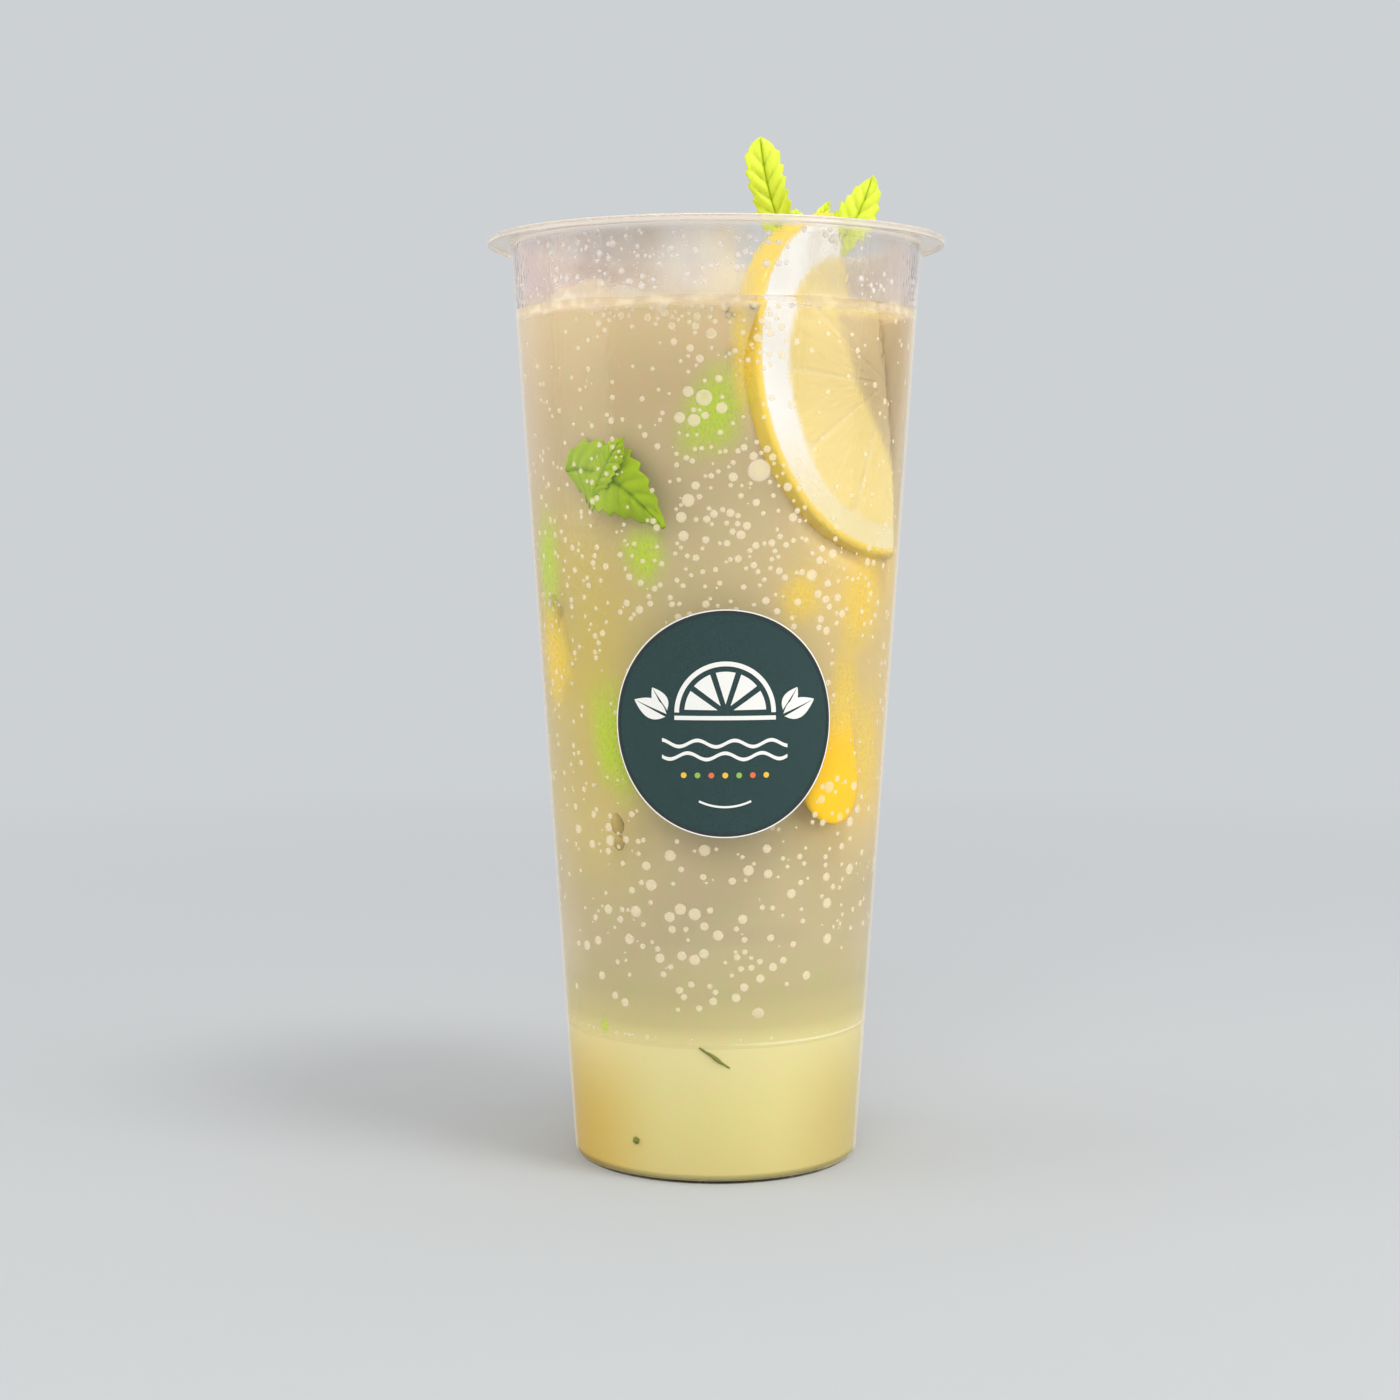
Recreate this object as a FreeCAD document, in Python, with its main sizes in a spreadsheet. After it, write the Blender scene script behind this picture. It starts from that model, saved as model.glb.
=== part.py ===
import FreeCAD, Part
import Sketcher
import math
import os

from FreeCAD import Placement, Rotation, Vector

# Tall clear takeaway cup of iced lemon and mint soda, with a round paper label.
# Millimetres and degrees. The origin is the centre of the foot ring, on the table; +Z is up and
# -Y is the front, the side that carries the label.

doc = FreeCAD.newDocument("mojito_cup")

# ---------------------------------------------------------------- driving sizes

SIZES = [
    # the cup: a thermoformed shell, so every wall has its own gauge
    ("cup_height", 182.0),
    ("rim_diameter", 90.0),
    ("mouth_diameter", 81.1),       # outside of the wall, carried up to the rim's top
    ("base_diameter", 56.7),        # outside of the wall, carried down to the table
    ("wall", 0.7),
    ("base_thickness", 0.9),
    ("base_recess", 2.6),           # how far the middle of the base is pushed up
    ("foot_width", 4.0),            # ring that the cup stands on
    ("heel_radius", 1.5),
    ("rim_thickness", 0.9),
    ("rim_edge_radius", 0.3),
    ("lip_height", 1.35),           # turned-down outer edge of the rim
    ("lip_width", 0.8),
    ("collar_drop", 2.6),           # thicker band of wall just under the rim
    ("collar_step", 0.25),
    ("ledge_height", 27.5),         # stacking ledge inside the wall
    ("ledge_step", 0.35),
    # the drink
    ("liquid_level", 167.5),
    ("fit_gap", 0.15),              # room between the drink and all that it touches
    # the label
    ("label_diameter", 43.0),
    ("label_height", 89.3),         # of its centre
    ("label_turn", 3.0),            # round the cup from the front, towards +X
    ("label_thickness", 0.2),
    ("label_glue", 0.12),
    # the lemon half wheel, wedged between the walls at the front right
    ("slice_radius", 33.5),
    ("slice_thickness", 6.0),
    ("slice_height", 153.8),        # of the middle of the cut
    ("slice_shift", 11.4),          # of that middle, sideways along the face
    ("slice_turn", 52.0),           # of the face, from the front towards +X
    ("slice_tilt", 8.0),            # of the face, upwards
    ("slice_roll", 4.0),            # of the cut, from upright
    ("wall_room", 1.2),             # between garnish or ice and the inside of the wall
    # ice cubes that break the surface
    ("ice_long", 23.0),
    ("ice_wide", 20.0),
    ("ice_deep", 18.0),
    ("ice_radius", 3.6),
    ("ice_sink", 7.0),              # depth of a cube's middle under the surface
    # the mint sprig, behind the top of the half wheel
    ("stem_diameter", 2.4),
    ("crown_behind", 5.0),          # from the back of the half wheel to the stem's top
    ("crown_below", 7.5),           # from the half wheel's top end down to the stem's top
    ("stem_length", 52.0),
    ("stem_lean", 17.0),            # degrees from upright
    ("stem_bow", 2.0),
    ("leaf_thickness", 0.8),
    ("tall_leaf", 27.5),
    ("wide_leaf", 23.0),
    ("small_leaf", 12.0),
]

sheet = doc.addObject("Spreadsheet::Sheet", "Sizes")
for row, (alias, size) in enumerate(SIZES, start=1):
    sheet.set(f"A{row}", alias)
    sheet.set(f"B{row}", str(size))
    sheet.setAlias(f"B{row}", alias)
doc.recompute()


def size(alias):
    return float(getattr(sheet, alias))


def wall_radius(height):
    """Formula of the wall's outside radius at a height, which is a formula too."""
    taper = "(Sizes.mouth_diameter - Sizes.base_diameter) / Sizes.cup_height"
    return f"(Sizes.base_diameter + {taper} * ({height})) / 2"


def inside_radius(height):
    """Radius of the inside of the wall at a height in millimetres, for placing things by."""
    taper = (size("mouth_diameter") - size("base_diameter")) / size("cup_height")
    return (size("base_diameter") + taper * height) / 2 - size("wall")


# ---------------------------------------------------------------- helpers

def origin_plane(body, role):
    return [f for f in body.Origin.OriginFeatures if f.Role == role][0]


def turned_body(label, corners):
    """A body turned about Z from an outline of (radius, height) formulas."""
    body = doc.addObject("PartDesign::Body", label)
    body.Label = label
    sketch = body.newObject("Sketcher::SketchObject", label + "_outline")
    sketch.AttachmentSupport = (origin_plane(body, "XZ_Plane"), "")
    sketch.MapMode = "FlatFace"
    count = len(corners)
    # The corners start scattered, so that no two lie on each other before the formulas place them.
    places = [Vector(0.01 + i, (i * 7) % 11, 0) for i in range(count)]
    for i in range(count):
        sketch.addGeometry(Part.LineSegment(places[i], places[(i + 1) % count]), False)
    for i in range(count):
        sketch.addConstraint(Sketcher.Constraint("Coincident", i, 2, (i + 1) % count, 1))
    for i, formulas in enumerate(corners):
        for kind, axis, formula in (("DistanceX", -2, formulas[0]), ("DistanceY", -1, formulas[1])):
            if formula == "0":
                sketch.addConstraint(Sketcher.Constraint("PointOnObject", i, 1, axis))
            else:
                number = sketch.addConstraint(Sketcher.Constraint(kind, -1, 1, i, 1, 10.0))
                sketch.setExpression(f"Constraints[{number}]", formula)
    doc.recompute()
    turn = body.newObject("PartDesign::Revolution", label + "_turned")
    turn.Profile = sketch
    turn.ReferenceAxis = (sketch, ["V_Axis"])
    turn.Angle = 360
    doc.recompute()
    return body


def rounded(body, name, radius, edges):
    """Fillet of the body's last feature."""
    fillet = body.newObject("PartDesign::Fillet", name)
    fillet.Base = (body.Tip if body.Tip != fillet else fillet.BaseFeature, edges)
    fillet.setExpression("Radius", radius)
    doc.recompute()


def rings_at(shape, places):
    """Names of the round edges that lie at (radius, height) places."""
    names = []
    for number, edge in enumerate(shape.Edges, start=1):
        if not isinstance(edge.Curve, Part.Circle):
            continue
        for radius, height in places:
            if abs(edge.Curve.Radius - radius) + abs(edge.Curve.Center.z - height) < 0.001:
                names.append(f"Edge{number}")
    return names


def cut_from(label, base, tools):
    """The base with the tools taken out of it, under the label."""
    room = doc.addObject("Part::MultiFuse", label + "_rooms")
    room.Shapes = tools
    cut = doc.addObject("Part::Cut", label)
    cut.Label = label
    cut.Base = base
    cut.Tool = room
    doc.recompute()
    return cut


def slid_to_wall(corners, direction):
    """How far the corners can slide along the direction and stay inside the cup's wall."""
    near, far = 0.0, size("mouth_diameter")
    while far - near > 0.001:
        middle = (near + far) / 2
        moved = [corner + direction * middle for corner in corners]
        reach = max(math.hypot(p.x, p.y) - inside_radius(p.z) for p in moved)
        if reach + size("wall_room") > 0:
            far = middle
        else:
            near = middle
    return near


# ---------------------------------------------------------------- the cup

def make_cup():
    """Thin shell with a foot ring, a stacking ledge, a collar and a flat rim with a lip."""
    height, base = "Sizes.cup_height", "Sizes.base_diameter / 2"
    collar = f"{height} - Sizes.collar_drop"
    under_rim = f"{height} - Sizes.rim_thickness"
    lip = "Sizes.rim_diameter / 2 - Sizes.lip_width"
    ledge = "Sizes.ledge_height"
    floor = "Sizes.base_recess + Sizes.base_thickness"
    foot = f"{base} - Sizes.foot_width"
    recess = f"{foot} - Sizes.base_recess"
    cup = turned_body("cup", [
        ("0", "Sizes.base_recess"),
        (recess, "Sizes.base_recess"),
        (foot, "0"),
        (base, "0"),
        (wall_radius(collar), collar),
        (f"{wall_radius(collar)} + Sizes.collar_step", collar),
        (f"{wall_radius(under_rim)} + Sizes.collar_step", under_rim),
        (lip, under_rim),
        (lip, f"{height} - Sizes.lip_height"),
        ("Sizes.rim_diameter / 2", f"{height} - Sizes.lip_height"),
        ("Sizes.rim_diameter / 2", height),
        (f"{wall_radius(height)} - Sizes.wall", height),
        (f"{wall_radius(ledge)} - Sizes.wall", ledge),
        (f"{wall_radius(ledge)} - Sizes.wall - Sizes.ledge_step", ledge),
        (f"{wall_radius('Sizes.base_thickness')} - Sizes.wall - Sizes.ledge_step",
         "Sizes.base_thickness"),
        (foot, "Sizes.base_thickness"),
        (recess, floor),
        ("0", floor),
    ])
    heel = rings_at(cup.Shape, [(size("base_diameter") / 2, 0)])
    rounded(cup, "cup_heel", "Sizes.heel_radius", heel)
    top, outside = size("cup_height"), size("rim_diameter") / 2
    edge = rings_at(cup.Shape, [
        (outside, top), (outside, top - size("lip_height")), (inside_radius(top), top),
    ])
    rounded(cup, "cup_rim", "Sizes.rim_edge_radius", edge)
    return cup


# ---------------------------------------------------------------- the label

def make_label():
    """Thin round sheet wrapped on the tapered wall."""
    sleeve = []
    for name, proud in (("label_outside", "Sizes.label_glue + Sizes.label_thickness"),
                        ("label_inside", "Sizes.label_glue")):
        low = "(Sizes.label_height - Sizes.label_diameter)"
        high = "(Sizes.label_height + Sizes.label_diameter)"
        cone = doc.addObject("Part::Cone", name)
        cone.setExpression("Radius1", f"{wall_radius(low)} + {proud}")
        cone.setExpression("Radius2", f"{wall_radius(high)} + {proud}")
        cone.setExpression("Height", f"{high} - {low}")
        cone.setExpression("Placement.Base.z", low)
        sleeve.append(cone)
    ring = doc.addObject("Part::Cut", "label_ring")
    ring.Base, ring.Tool = sleeve

    # Seen from the front, a disc bent round the wall is narrower than it is tall.
    round_wall = f"({wall_radius('Sizes.label_height')})"
    outline = doc.addObject("Part::Ellipse", "label_outline")
    outline.setExpression("MajorRadius", "Sizes.label_diameter / 2")
    outline.setExpression(
        "MinorRadius",
        f"{round_wall} * sin(Sizes.label_diameter / 2 / {round_wall} * 180deg / pi)")
    outline.Placement = Placement(
        Vector(), Rotation(Vector(0, 0, 1), Vector(-1, 0, 0), Vector(0, -1, 0), "ZXY"))
    outline.setExpression("Placement.Base.z", "Sizes.label_height")
    punch = doc.addObject("Part::Extrusion", "label_punch")
    punch.Base = outline
    punch.Dir = Vector(0, -1, 0)
    punch.setExpression("LengthFwd", "Sizes.mouth_diameter")
    punch.Solid = True

    label = doc.addObject("Part::Common", "label")
    label.Label = "label"
    label.Base, label.Tool = ring, punch
    label.Placement = Placement(Vector(), Rotation(Vector(0, 0, 1), size("label_turn")))
    doc.recompute()
    return label


# ---------------------------------------------------------------- the lemon half wheel

def slice_axes():
    """Unit vectors of the half wheel: across the cut, up along the cut, and out of its face."""
    turn, tilt, roll = (math.radians(size(a)) for a in ("slice_turn", "slice_tilt", "slice_roll"))
    face = Vector(math.sin(turn) * math.cos(tilt), -math.cos(turn) * math.cos(tilt), math.sin(tilt))
    level = Vector(math.cos(turn), math.sin(turn), 0)
    rise = level.cross(face) * -1
    if rise.z < 0:
        rise = rise * -1
    across = level * math.cos(roll) + rise * math.sin(roll)
    upward = rise * math.cos(roll) - level * math.sin(roll)
    return across, upward, face


def slice_middle():
    """Middle of the cut on the face: the half wheel is pushed out until its rind meets the wall."""
    across, upward, face = slice_axes()
    level = Vector(across.x, across.y, 0).normalize()
    outward = Vector(face.x, face.y, 0).normalize()
    start = level * size("slice_shift") + Vector(0, 0, size("slice_height"))
    rind = []
    for degrees in range(90, 271, 5):
        angle = math.radians(degrees)
        spoke = across * math.cos(angle) + upward * math.sin(angle)
        for depth in (0, size("slice_thickness")):
            rind.append(start + spoke * size("slice_radius") - face * depth)
    rind = [p for p in rind if p.z < size("cup_height")]
    return start + outward * slid_to_wall(rind, outward)


def half_wheel(label, room):
    """Half of a thick round slice, grown by some room on every side."""
    across, upward, face = slice_axes()
    turned = Rotation(across, upward, face, "ZXY")
    back = slice_middle() - face * size("slice_thickness")
    wheel = doc.addObject("Part::Cylinder", label + "_wheel")
    wheel.setExpression("Radius", f"Sizes.slice_radius + {room}")
    wheel.setExpression("Height", f"Sizes.slice_thickness + 2 * {room}")
    wheel.Placement = Placement(back - face * room, turned)
    half = doc.addObject("Part::Box", label + "_half")
    for side in ("Length", "Width"):
        half.setExpression(side, "3 * Sizes.slice_radius")
    half.setExpression("Height", "3 * Sizes.slice_thickness")
    reach = 3 * size("slice_radius")
    corner = across * (room - reach) - upward * (reach / 2) - face * size("slice_thickness")
    half.Placement = Placement(back + corner, turned)
    piece = doc.addObject("Part::Common", label)
    piece.Label = label
    piece.Base, piece.Tool = wheel, half
    doc.recompute()
    return piece


# ---------------------------------------------------------------- ice

# Each cube: the way it lies from the middle of the cup (degrees from +X), its yaw, pitch and
# roll, and how far its middle floats above the depth that ice_sink gives.
CUBES = [
    (-130.0, (24.0, 9.0, -12.0), 0.8),
    (108.0, (-20.0, -14.0, 10.0), 2.4),
]


def ice_cube(label, cube, room):
    """Rounded block pushed out to the wall and floating at the surface."""
    way, (yaw, pitch, roll), lift = cube
    sides = [size(a) + 2 * room for a in ("ice_long", "ice_wide", "ice_deep")]
    body = doc.addObject("PartDesign::Body", label)
    body.Label = label
    sketch = body.newObject("Sketcher::SketchObject", label + "_outline")
    sketch.AttachmentSupport = (origin_plane(body, "XY_Plane"), "")
    sketch.MapMode = "FlatFace"
    corners = [Vector(0, 0, 0), Vector(sides[0], 0, 0), Vector(sides[0], sides[1], 0),
               Vector(0, sides[1], 0)]
    for i in range(4):
        sketch.addGeometry(Part.LineSegment(corners[i], corners[(i + 1) % 4]), False)
    for i in range(4):
        sketch.addConstraint(Sketcher.Constraint("Coincident", i, 2, (i + 1) % 4, 1))
        sketch.addConstraint(Sketcher.Constraint("Vertical" if i % 2 else "Horizontal", i))
    sketch.addConstraint(Sketcher.Constraint("Coincident", 0, 1, -1, 1))
    for line, kind, alias in ((0, "DistanceX", "ice_long"), (1, "DistanceY", "ice_wide")):
        number = sketch.addConstraint(Sketcher.Constraint(kind, line, 1, line, 2, sides[line]))
        sketch.setExpression(f"Constraints[{number}]", f"Sizes.{alias} + 2 * {room}")
    pad = body.newObject("PartDesign::Pad", label + "_block")
    pad.Profile = sketch
    pad.setExpression("Length", f"Sizes.ice_deep + 2 * {room}")
    doc.recompute()
    edges = [f"Edge{n}" for n in range(1, len(pad.Shape.Edges) + 1)]
    rounded(body, label + "_melted", f"Sizes.ice_radius + {room}", edges)

    turned = Rotation(way + yaw, pitch, roll)
    middle = Vector(0, 0, size("liquid_level") - size("ice_sink") + lift)
    melt = size("ice_radius")
    inner = [size(a) / 2 - melt for a in ("ice_long", "ice_wide", "ice_deep")]
    balls = [middle + turned.multVec(Vector(x * inner[0], y * inner[1], z * inner[2]))
             for x in (-1, 1) for y in (-1, 1) for z in (-1, 1)]
    outward = Vector(math.cos(math.radians(way)), math.sin(math.radians(way)), 0)
    corners = [ball + Vector(ball.x, ball.y, 0).normalize() * melt for ball in balls]
    middle = middle + outward * slid_to_wall(corners, outward)
    half = Vector(sides[0] / 2, sides[1] / 2, sides[2] / 2)
    body.Placement = Placement(middle - turned.multVec(half), turned)
    doc.recompute()
    return body


# ---------------------------------------------------------------- the mint sprig

def crown_place():
    """Top of the stem, behind the upper end of the half wheel."""
    across, upward, face = slice_axes()
    top = slice_middle() + upward * (size("slice_radius") - size("crown_below"))
    return top - face * (size("slice_thickness") + size("crown_behind"))


def stem(room):
    """Bowed round stem from the crown down into the drink, towards the middle of the cup."""
    crown = crown_place()
    inward = Vector(-crown.x, -crown.y, 0).normalize()
    lean = math.radians(size("stem_lean"))
    down = inward * math.sin(lean) - Vector(0, 0, math.cos(lean))
    foot = crown + down * size("stem_length")
    sideways = inward * math.cos(lean) + Vector(0, 0, math.sin(lean))
    bow = (crown + foot) * 0.5 - sideways * size("stem_bow")
    path = Part.Wire(Part.Arc(crown, bow, foot).toShape())
    edge = path.Edges[0]
    radius = size("stem_diameter") / 2 + room
    start, along = edge.valueAt(edge.FirstParameter), edge.tangentAt(edge.FirstParameter)
    ring = Part.Wire(Part.Edge(Part.Circle(start, along, radius)))
    return path.makePipeShell([ring], True, True).fuse(Part.makeSphere(radius, foot))


def leaf(foot, way, length, half_width, bow, facing, twist):
    """Pointed leaf with a bowed rib: lens sections whose two edges lift, turned by twist.

    way is the direction from foot to tip, bow the offset of the rib's middle, and facing the
    side that the leaf's upper face is turned to.
    """
    along = way.normalize()
    side = along.cross(facing).normalize()
    top = side.cross(along).normalize()
    fold = 0.32                         # how far the two edges lift, as a share of the width
    sections = 9
    blunt = 0.1                         # width left at the foot and the tip, as a share
    wires = []
    for step in range(sections):
        part = step / (sections - 1)
        rib = foot + along * (length * part) + bow * (4 * part * (1 - part))
        swell = math.sin(math.pi * part ** 1.1)
        width = half_width * (blunt + (1 - blunt) * max(swell, 0) ** 0.8)
        thick = size("leaf_thickness") / 2 * (0.45 + 0.55 * swell)
        turn = Rotation(along, twist * part)
        across, lift = turn.multVec(side), turn.multVec(top)
        left = rib - across * width + lift * (fold * width)
        right = rib + across * width + lift * (fold * width)
        wires.append(Part.Wire([
            Part.Arc(left, rib + lift * thick, right).toShape(),
            Part.Arc(right, rib - lift * thick, left).toShape(),
        ]))
    return Part.makeLoft(wires, True, False)


def make_sprig():
    """One stem with a tall leaf, a wide leaf, a back leaf and two small ones at its crown."""
    crown = crown_place()
    front, right, up = Vector(0, -1, 0), Vector(1, 0, 0), Vector(0, 0, 1)
    foot = crown - up * size("stem_diameter")
    tall, wide, small = size("tall_leaf"), size("wide_leaf"), size("small_leaf")
    # foot, direction, length, half width, bow of the rib, side that the upper face looks to, twist
    leaves = [
        leaf(foot - right * 0.6, up * 26 - right * 7.6 + front * 1.5, tall, 4.5, right * 0.7,
             front + right * 0.35, 24),
        leaf(foot + up, up * 18 + right * 16.7 - front * 4, wide, 4.2, right * 0.8 - up * 0.8,
             up * 0.4 + front * 1.2 - right * 0.7, 12),
        leaf(foot, up * 11 - right * 3 - front * 18, wide, 5.2, up * 2.2, up + front * 0.4, 0),
        leaf(foot + up * 3, up * 11 + right * 6 - front * 2, small, 2.2, right * 0.8,
             front + right * 0.2, 0),
        leaf(foot + up * 3, up * 8 - right * 3 - front * 6, small, 2.4, up * 0.8,
             front + up * 0.5, 0),
    ]
    sprig = doc.addObject("Part::Feature", "mint_sprig")
    sprig.Label = "mint_sprig"
    sprig.Shape = stem(0).multiFuse(leaves).removeSplitter()
    sprig.Placement = Placement()
    return sprig


# ---------------------------------------------------------------- the drink

def make_drink(tools):
    """The soda above the stacking ledge, with room cut for all that stands in it."""
    gap = "Sizes.wall + Sizes.fit_gap"
    bottom = "(Sizes.ledge_height + Sizes.fit_gap)"
    soda = turned_body("soda_fill", [
        ("0", bottom),
        (f"{wall_radius(bottom)} - ({gap})", bottom),
        (f"{wall_radius('Sizes.liquid_level')} - ({gap})", "Sizes.liquid_level"),
        ("0", "Sizes.liquid_level"),
    ])
    return cut_from("drink", soda, tools)


def make_pulp_layer():
    """The denser juice and pulp that has settled below the ledge, down into the foot ring."""
    gap = "Sizes.wall + Sizes.ledge_step + Sizes.fit_gap"
    top = "(Sizes.ledge_height + Sizes.fit_gap)"
    floor = "Sizes.base_recess + Sizes.base_thickness + Sizes.fit_gap"
    groove = "Sizes.base_thickness + Sizes.fit_gap"
    foot = "Sizes.base_diameter / 2 - Sizes.foot_width"
    return turned_body("pulp_layer", [
        ("0", floor),
        (f"{foot} - Sizes.base_recess", floor),
        (foot, groove),
        (f"{wall_radius('Sizes.base_thickness')} - ({gap})", groove),
        (f"{wall_radius(top)} - ({gap})", top),
        ("0", top),
    ])


# ---------------------------------------------------------------- building and writing

room = size("fit_gap")
subparts = [make_cup(), make_label(), half_wheel("lemon_slice", 0), make_sprig(), make_pulp_layer()]
rooms = [half_wheel("slice_room", room)]
stem_room = doc.addObject("Part::Feature", "stem_room")
stem_room.Shape = stem(room)
rooms.append(stem_room)
for number, cube in enumerate(CUBES, start=1):
    subparts.append(ice_cube(f"ice_cube_{number}", cube, 0))
    rooms.append(ice_cube(f"ice_room_{number}", cube, room))
subparts.append(make_drink(rooms))
doc.recompute()

for item in doc.Objects:
    if "Invalid" in item.State or "Error" in item.State:
        raise RuntimeError(f"{item.Name} failed: {item.State}")
for item in subparts:
    if item.Shape.isNull() or not item.Shape.isValid():
        raise RuntimeError(f"{item.Label} has no valid shape")

os.makedirs("parts", exist_ok=True)
for item in subparts:
    item.Shape.exportStep(f"parts/{item.Label}.step")
    print(f"{item.Label}: {len(item.Shape.Solids)} solid, {item.Shape.Volume:.0f} mm3")
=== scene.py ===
import math
import random
from itertools import product
from math import atan2, ceil, cos, hypot, pi, radians, sin, sqrt

import bmesh
import bpy
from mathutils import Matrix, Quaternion, Vector
from mathutils.noise import noise


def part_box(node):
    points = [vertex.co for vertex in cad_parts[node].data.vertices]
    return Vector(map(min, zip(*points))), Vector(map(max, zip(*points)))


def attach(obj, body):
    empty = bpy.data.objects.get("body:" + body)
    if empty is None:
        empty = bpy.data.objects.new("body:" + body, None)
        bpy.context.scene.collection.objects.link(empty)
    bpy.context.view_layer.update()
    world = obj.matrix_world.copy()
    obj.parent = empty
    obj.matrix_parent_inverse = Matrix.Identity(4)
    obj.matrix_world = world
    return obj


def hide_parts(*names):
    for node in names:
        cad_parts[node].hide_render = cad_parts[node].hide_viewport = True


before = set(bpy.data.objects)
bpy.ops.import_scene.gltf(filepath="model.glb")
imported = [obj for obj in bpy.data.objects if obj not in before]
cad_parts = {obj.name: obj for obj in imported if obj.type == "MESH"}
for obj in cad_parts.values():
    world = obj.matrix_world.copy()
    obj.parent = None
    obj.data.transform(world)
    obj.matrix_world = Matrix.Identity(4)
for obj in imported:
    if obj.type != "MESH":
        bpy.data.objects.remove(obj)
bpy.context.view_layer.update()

MM = 0.001                       # lengths are in metres, so a length of 3 mm is 3 * MM


# -------------------- camera
# A plain camera that stands in front of the cup, a little above its middle, and looks slightly
# down at it.

camera_back, camera_height = 470.8 * MM, 127.4 * MM
look_down, look_left = radians(4.395), radians(0.385)
film_width, focal_length, nearest = 36.0, 60.52, 20 * MM

lens = bpy.data.cameras.new("camera")
lens.sensor_width, lens.lens, lens.clip_start = film_width, focal_length, nearest
camera = bpy.data.objects.new("camera", lens)
camera.location = (0, -camera_back, camera_height)
camera.rotation_euler = (radians(90) - look_down, 0, look_left)
bpy.context.scene.collection.objects.link(camera)
bpy.context.scene.camera = camera
bpy.context.scene.view_settings.view_transform = "Standard"


# -------------------- table and light
# The cup stands on a pale grey matt board. Far from the cup the board and the room are one even
# grey. Soft light comes from all round, with one stronger lamp high on the front right.

backdrop_grey, board_grey = "CDD1D4", "B2B6BA"
board_radius, fade_start, fade_end = 6.0, 0.12, 0.75
soft_light_colour, soft_light_strength = (1.0, 0.985, 0.97, 1.0), 0.92


def hue(code):
    """Linear colour from six hexadecimal figures."""
    parts = [int(code[i:i + 2], 16) / 255 for i in (0, 2, 4)]
    return tuple(c / 12.92 if c <= 0.04045 else ((c + 0.055) / 1.055) ** 2.4 for c in parts) + (1.0,)


def join(value, socket):
    """Feeds a socket from a node's first output or another socket, or with a colour or number."""
    if isinstance(value, bpy.types.Node):
        value = value.outputs[0]
    if isinstance(value, bpy.types.NodeSocket):
        tree.links.new(value, socket)
    else:
        socket.default_value = hue(value) if isinstance(value, str) else value


def put(kind, **settings):
    """Adds a shader node. Each setting is an option of the node or feeds one of its sockets."""
    node = tree.nodes.new("ShaderNode" + kind)
    for name, value in settings.items():
        if name in node.bl_rna.properties:
            setattr(node, name, value)
        else:
            socket = next(s for s in node.inputs if name in (s.identifier, s.name.replace(" ", "_")))
            join(value, socket)
    return node


def feed(node, *values):
    """Joins values to the first sockets of a node."""
    for value, socket in zip(values, node.inputs):
        join(value, socket)
    return node


def calc(operation, *terms):
    """One step of arithmetic in a material."""
    return feed(put("Math", operation=operation), *terms)


def times(share, *others):
    """The product of several shares."""
    for other in others:
        share = calc("MULTIPLY", share, other)
    return share


def mix_shaders(share, first, second):
    return feed(put("MixShader"), share, first, second)


def rise(value, start, end, low=0.0, high=1.0):
    """Goes softly from low to high while the value goes from start to end."""
    return put("MapRange", interpolation_type="SMOOTHSTEP", Value=value, From_Min=start,
               From_Max=end, To_Min=low, To_Max=high)


def where():
    """The place on a piece, measured from the foot of the cup's axis."""
    return put("TexCoord").outputs["Object"]


def seen_ray():
    """1 for what the camera sees, straight, mirrored or through something clear."""
    ray = put("LightPath").outputs
    mirrored = calc("MAXIMUM", ray["Is Glossy Ray"], ray["Is Transmission Ray"])
    return calc("MAXIMUM", ray["Is Camera Ray"], mirrored)


def make(look):
    """Empties a material or the world. The shader nodes that follow are put into its tree."""
    global tree
    look.use_nodes = True
    tree = look.node_tree
    tree.nodes.clear()
    return look


def new_material(name):
    return make(bpy.data.materials.new(name))


def finish(surface, **inside):
    put("OutputMaterial", Surface=surface, **inside)


def add_object(name, data):
    thing = bpy.data.objects.new(name, data)
    bpy.context.scene.collection.objects.link(thing)
    return thing


def add_mesh(name, points, faces, *materials):
    mesh = bpy.data.meshes.new(name)
    mesh.from_pydata(points, [], faces)
    for material in materials:
        mesh.materials.append(material)
    return add_object(name, mesh)


def circle(count):
    """Cosine and sine of each step of a full turn."""
    angles = [2 * pi * step / count for step in range(count)]
    return [(cos(a), sin(a)) for a in angles]


bpy.context.scene.world = make(bpy.data.worlds.new("room"))
soft_light = put("Background", Color=soft_light_colour, Strength=soft_light_strength)
grey_room = put("Background", Color=backdrop_grey, Strength=1.0)
put("OutputWorld", Surface=mix_shaders(seen_ray(), soft_light, grey_room))

board_material = new_material("matt grey board")
distance = put("VectorMath", operation="LENGTH", Vector=where()).outputs["Value"]
near_board = put("BsdfDiffuse", Color=board_grey)
far_board = put("Emission", Color=backdrop_grey, Strength=1.0)
far = times(rise(distance, fade_start, fade_end), seen_ray())
finish(mix_shaders(far, near_board, far_board))

rim = [(board_radius * x, board_radius * y, 0) for x, y in circle(72)]
board = add_mesh("board", rim, [tuple(range(len(rim)))], board_material)

aim = Vector((0, 0, 90 * MM))
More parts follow.
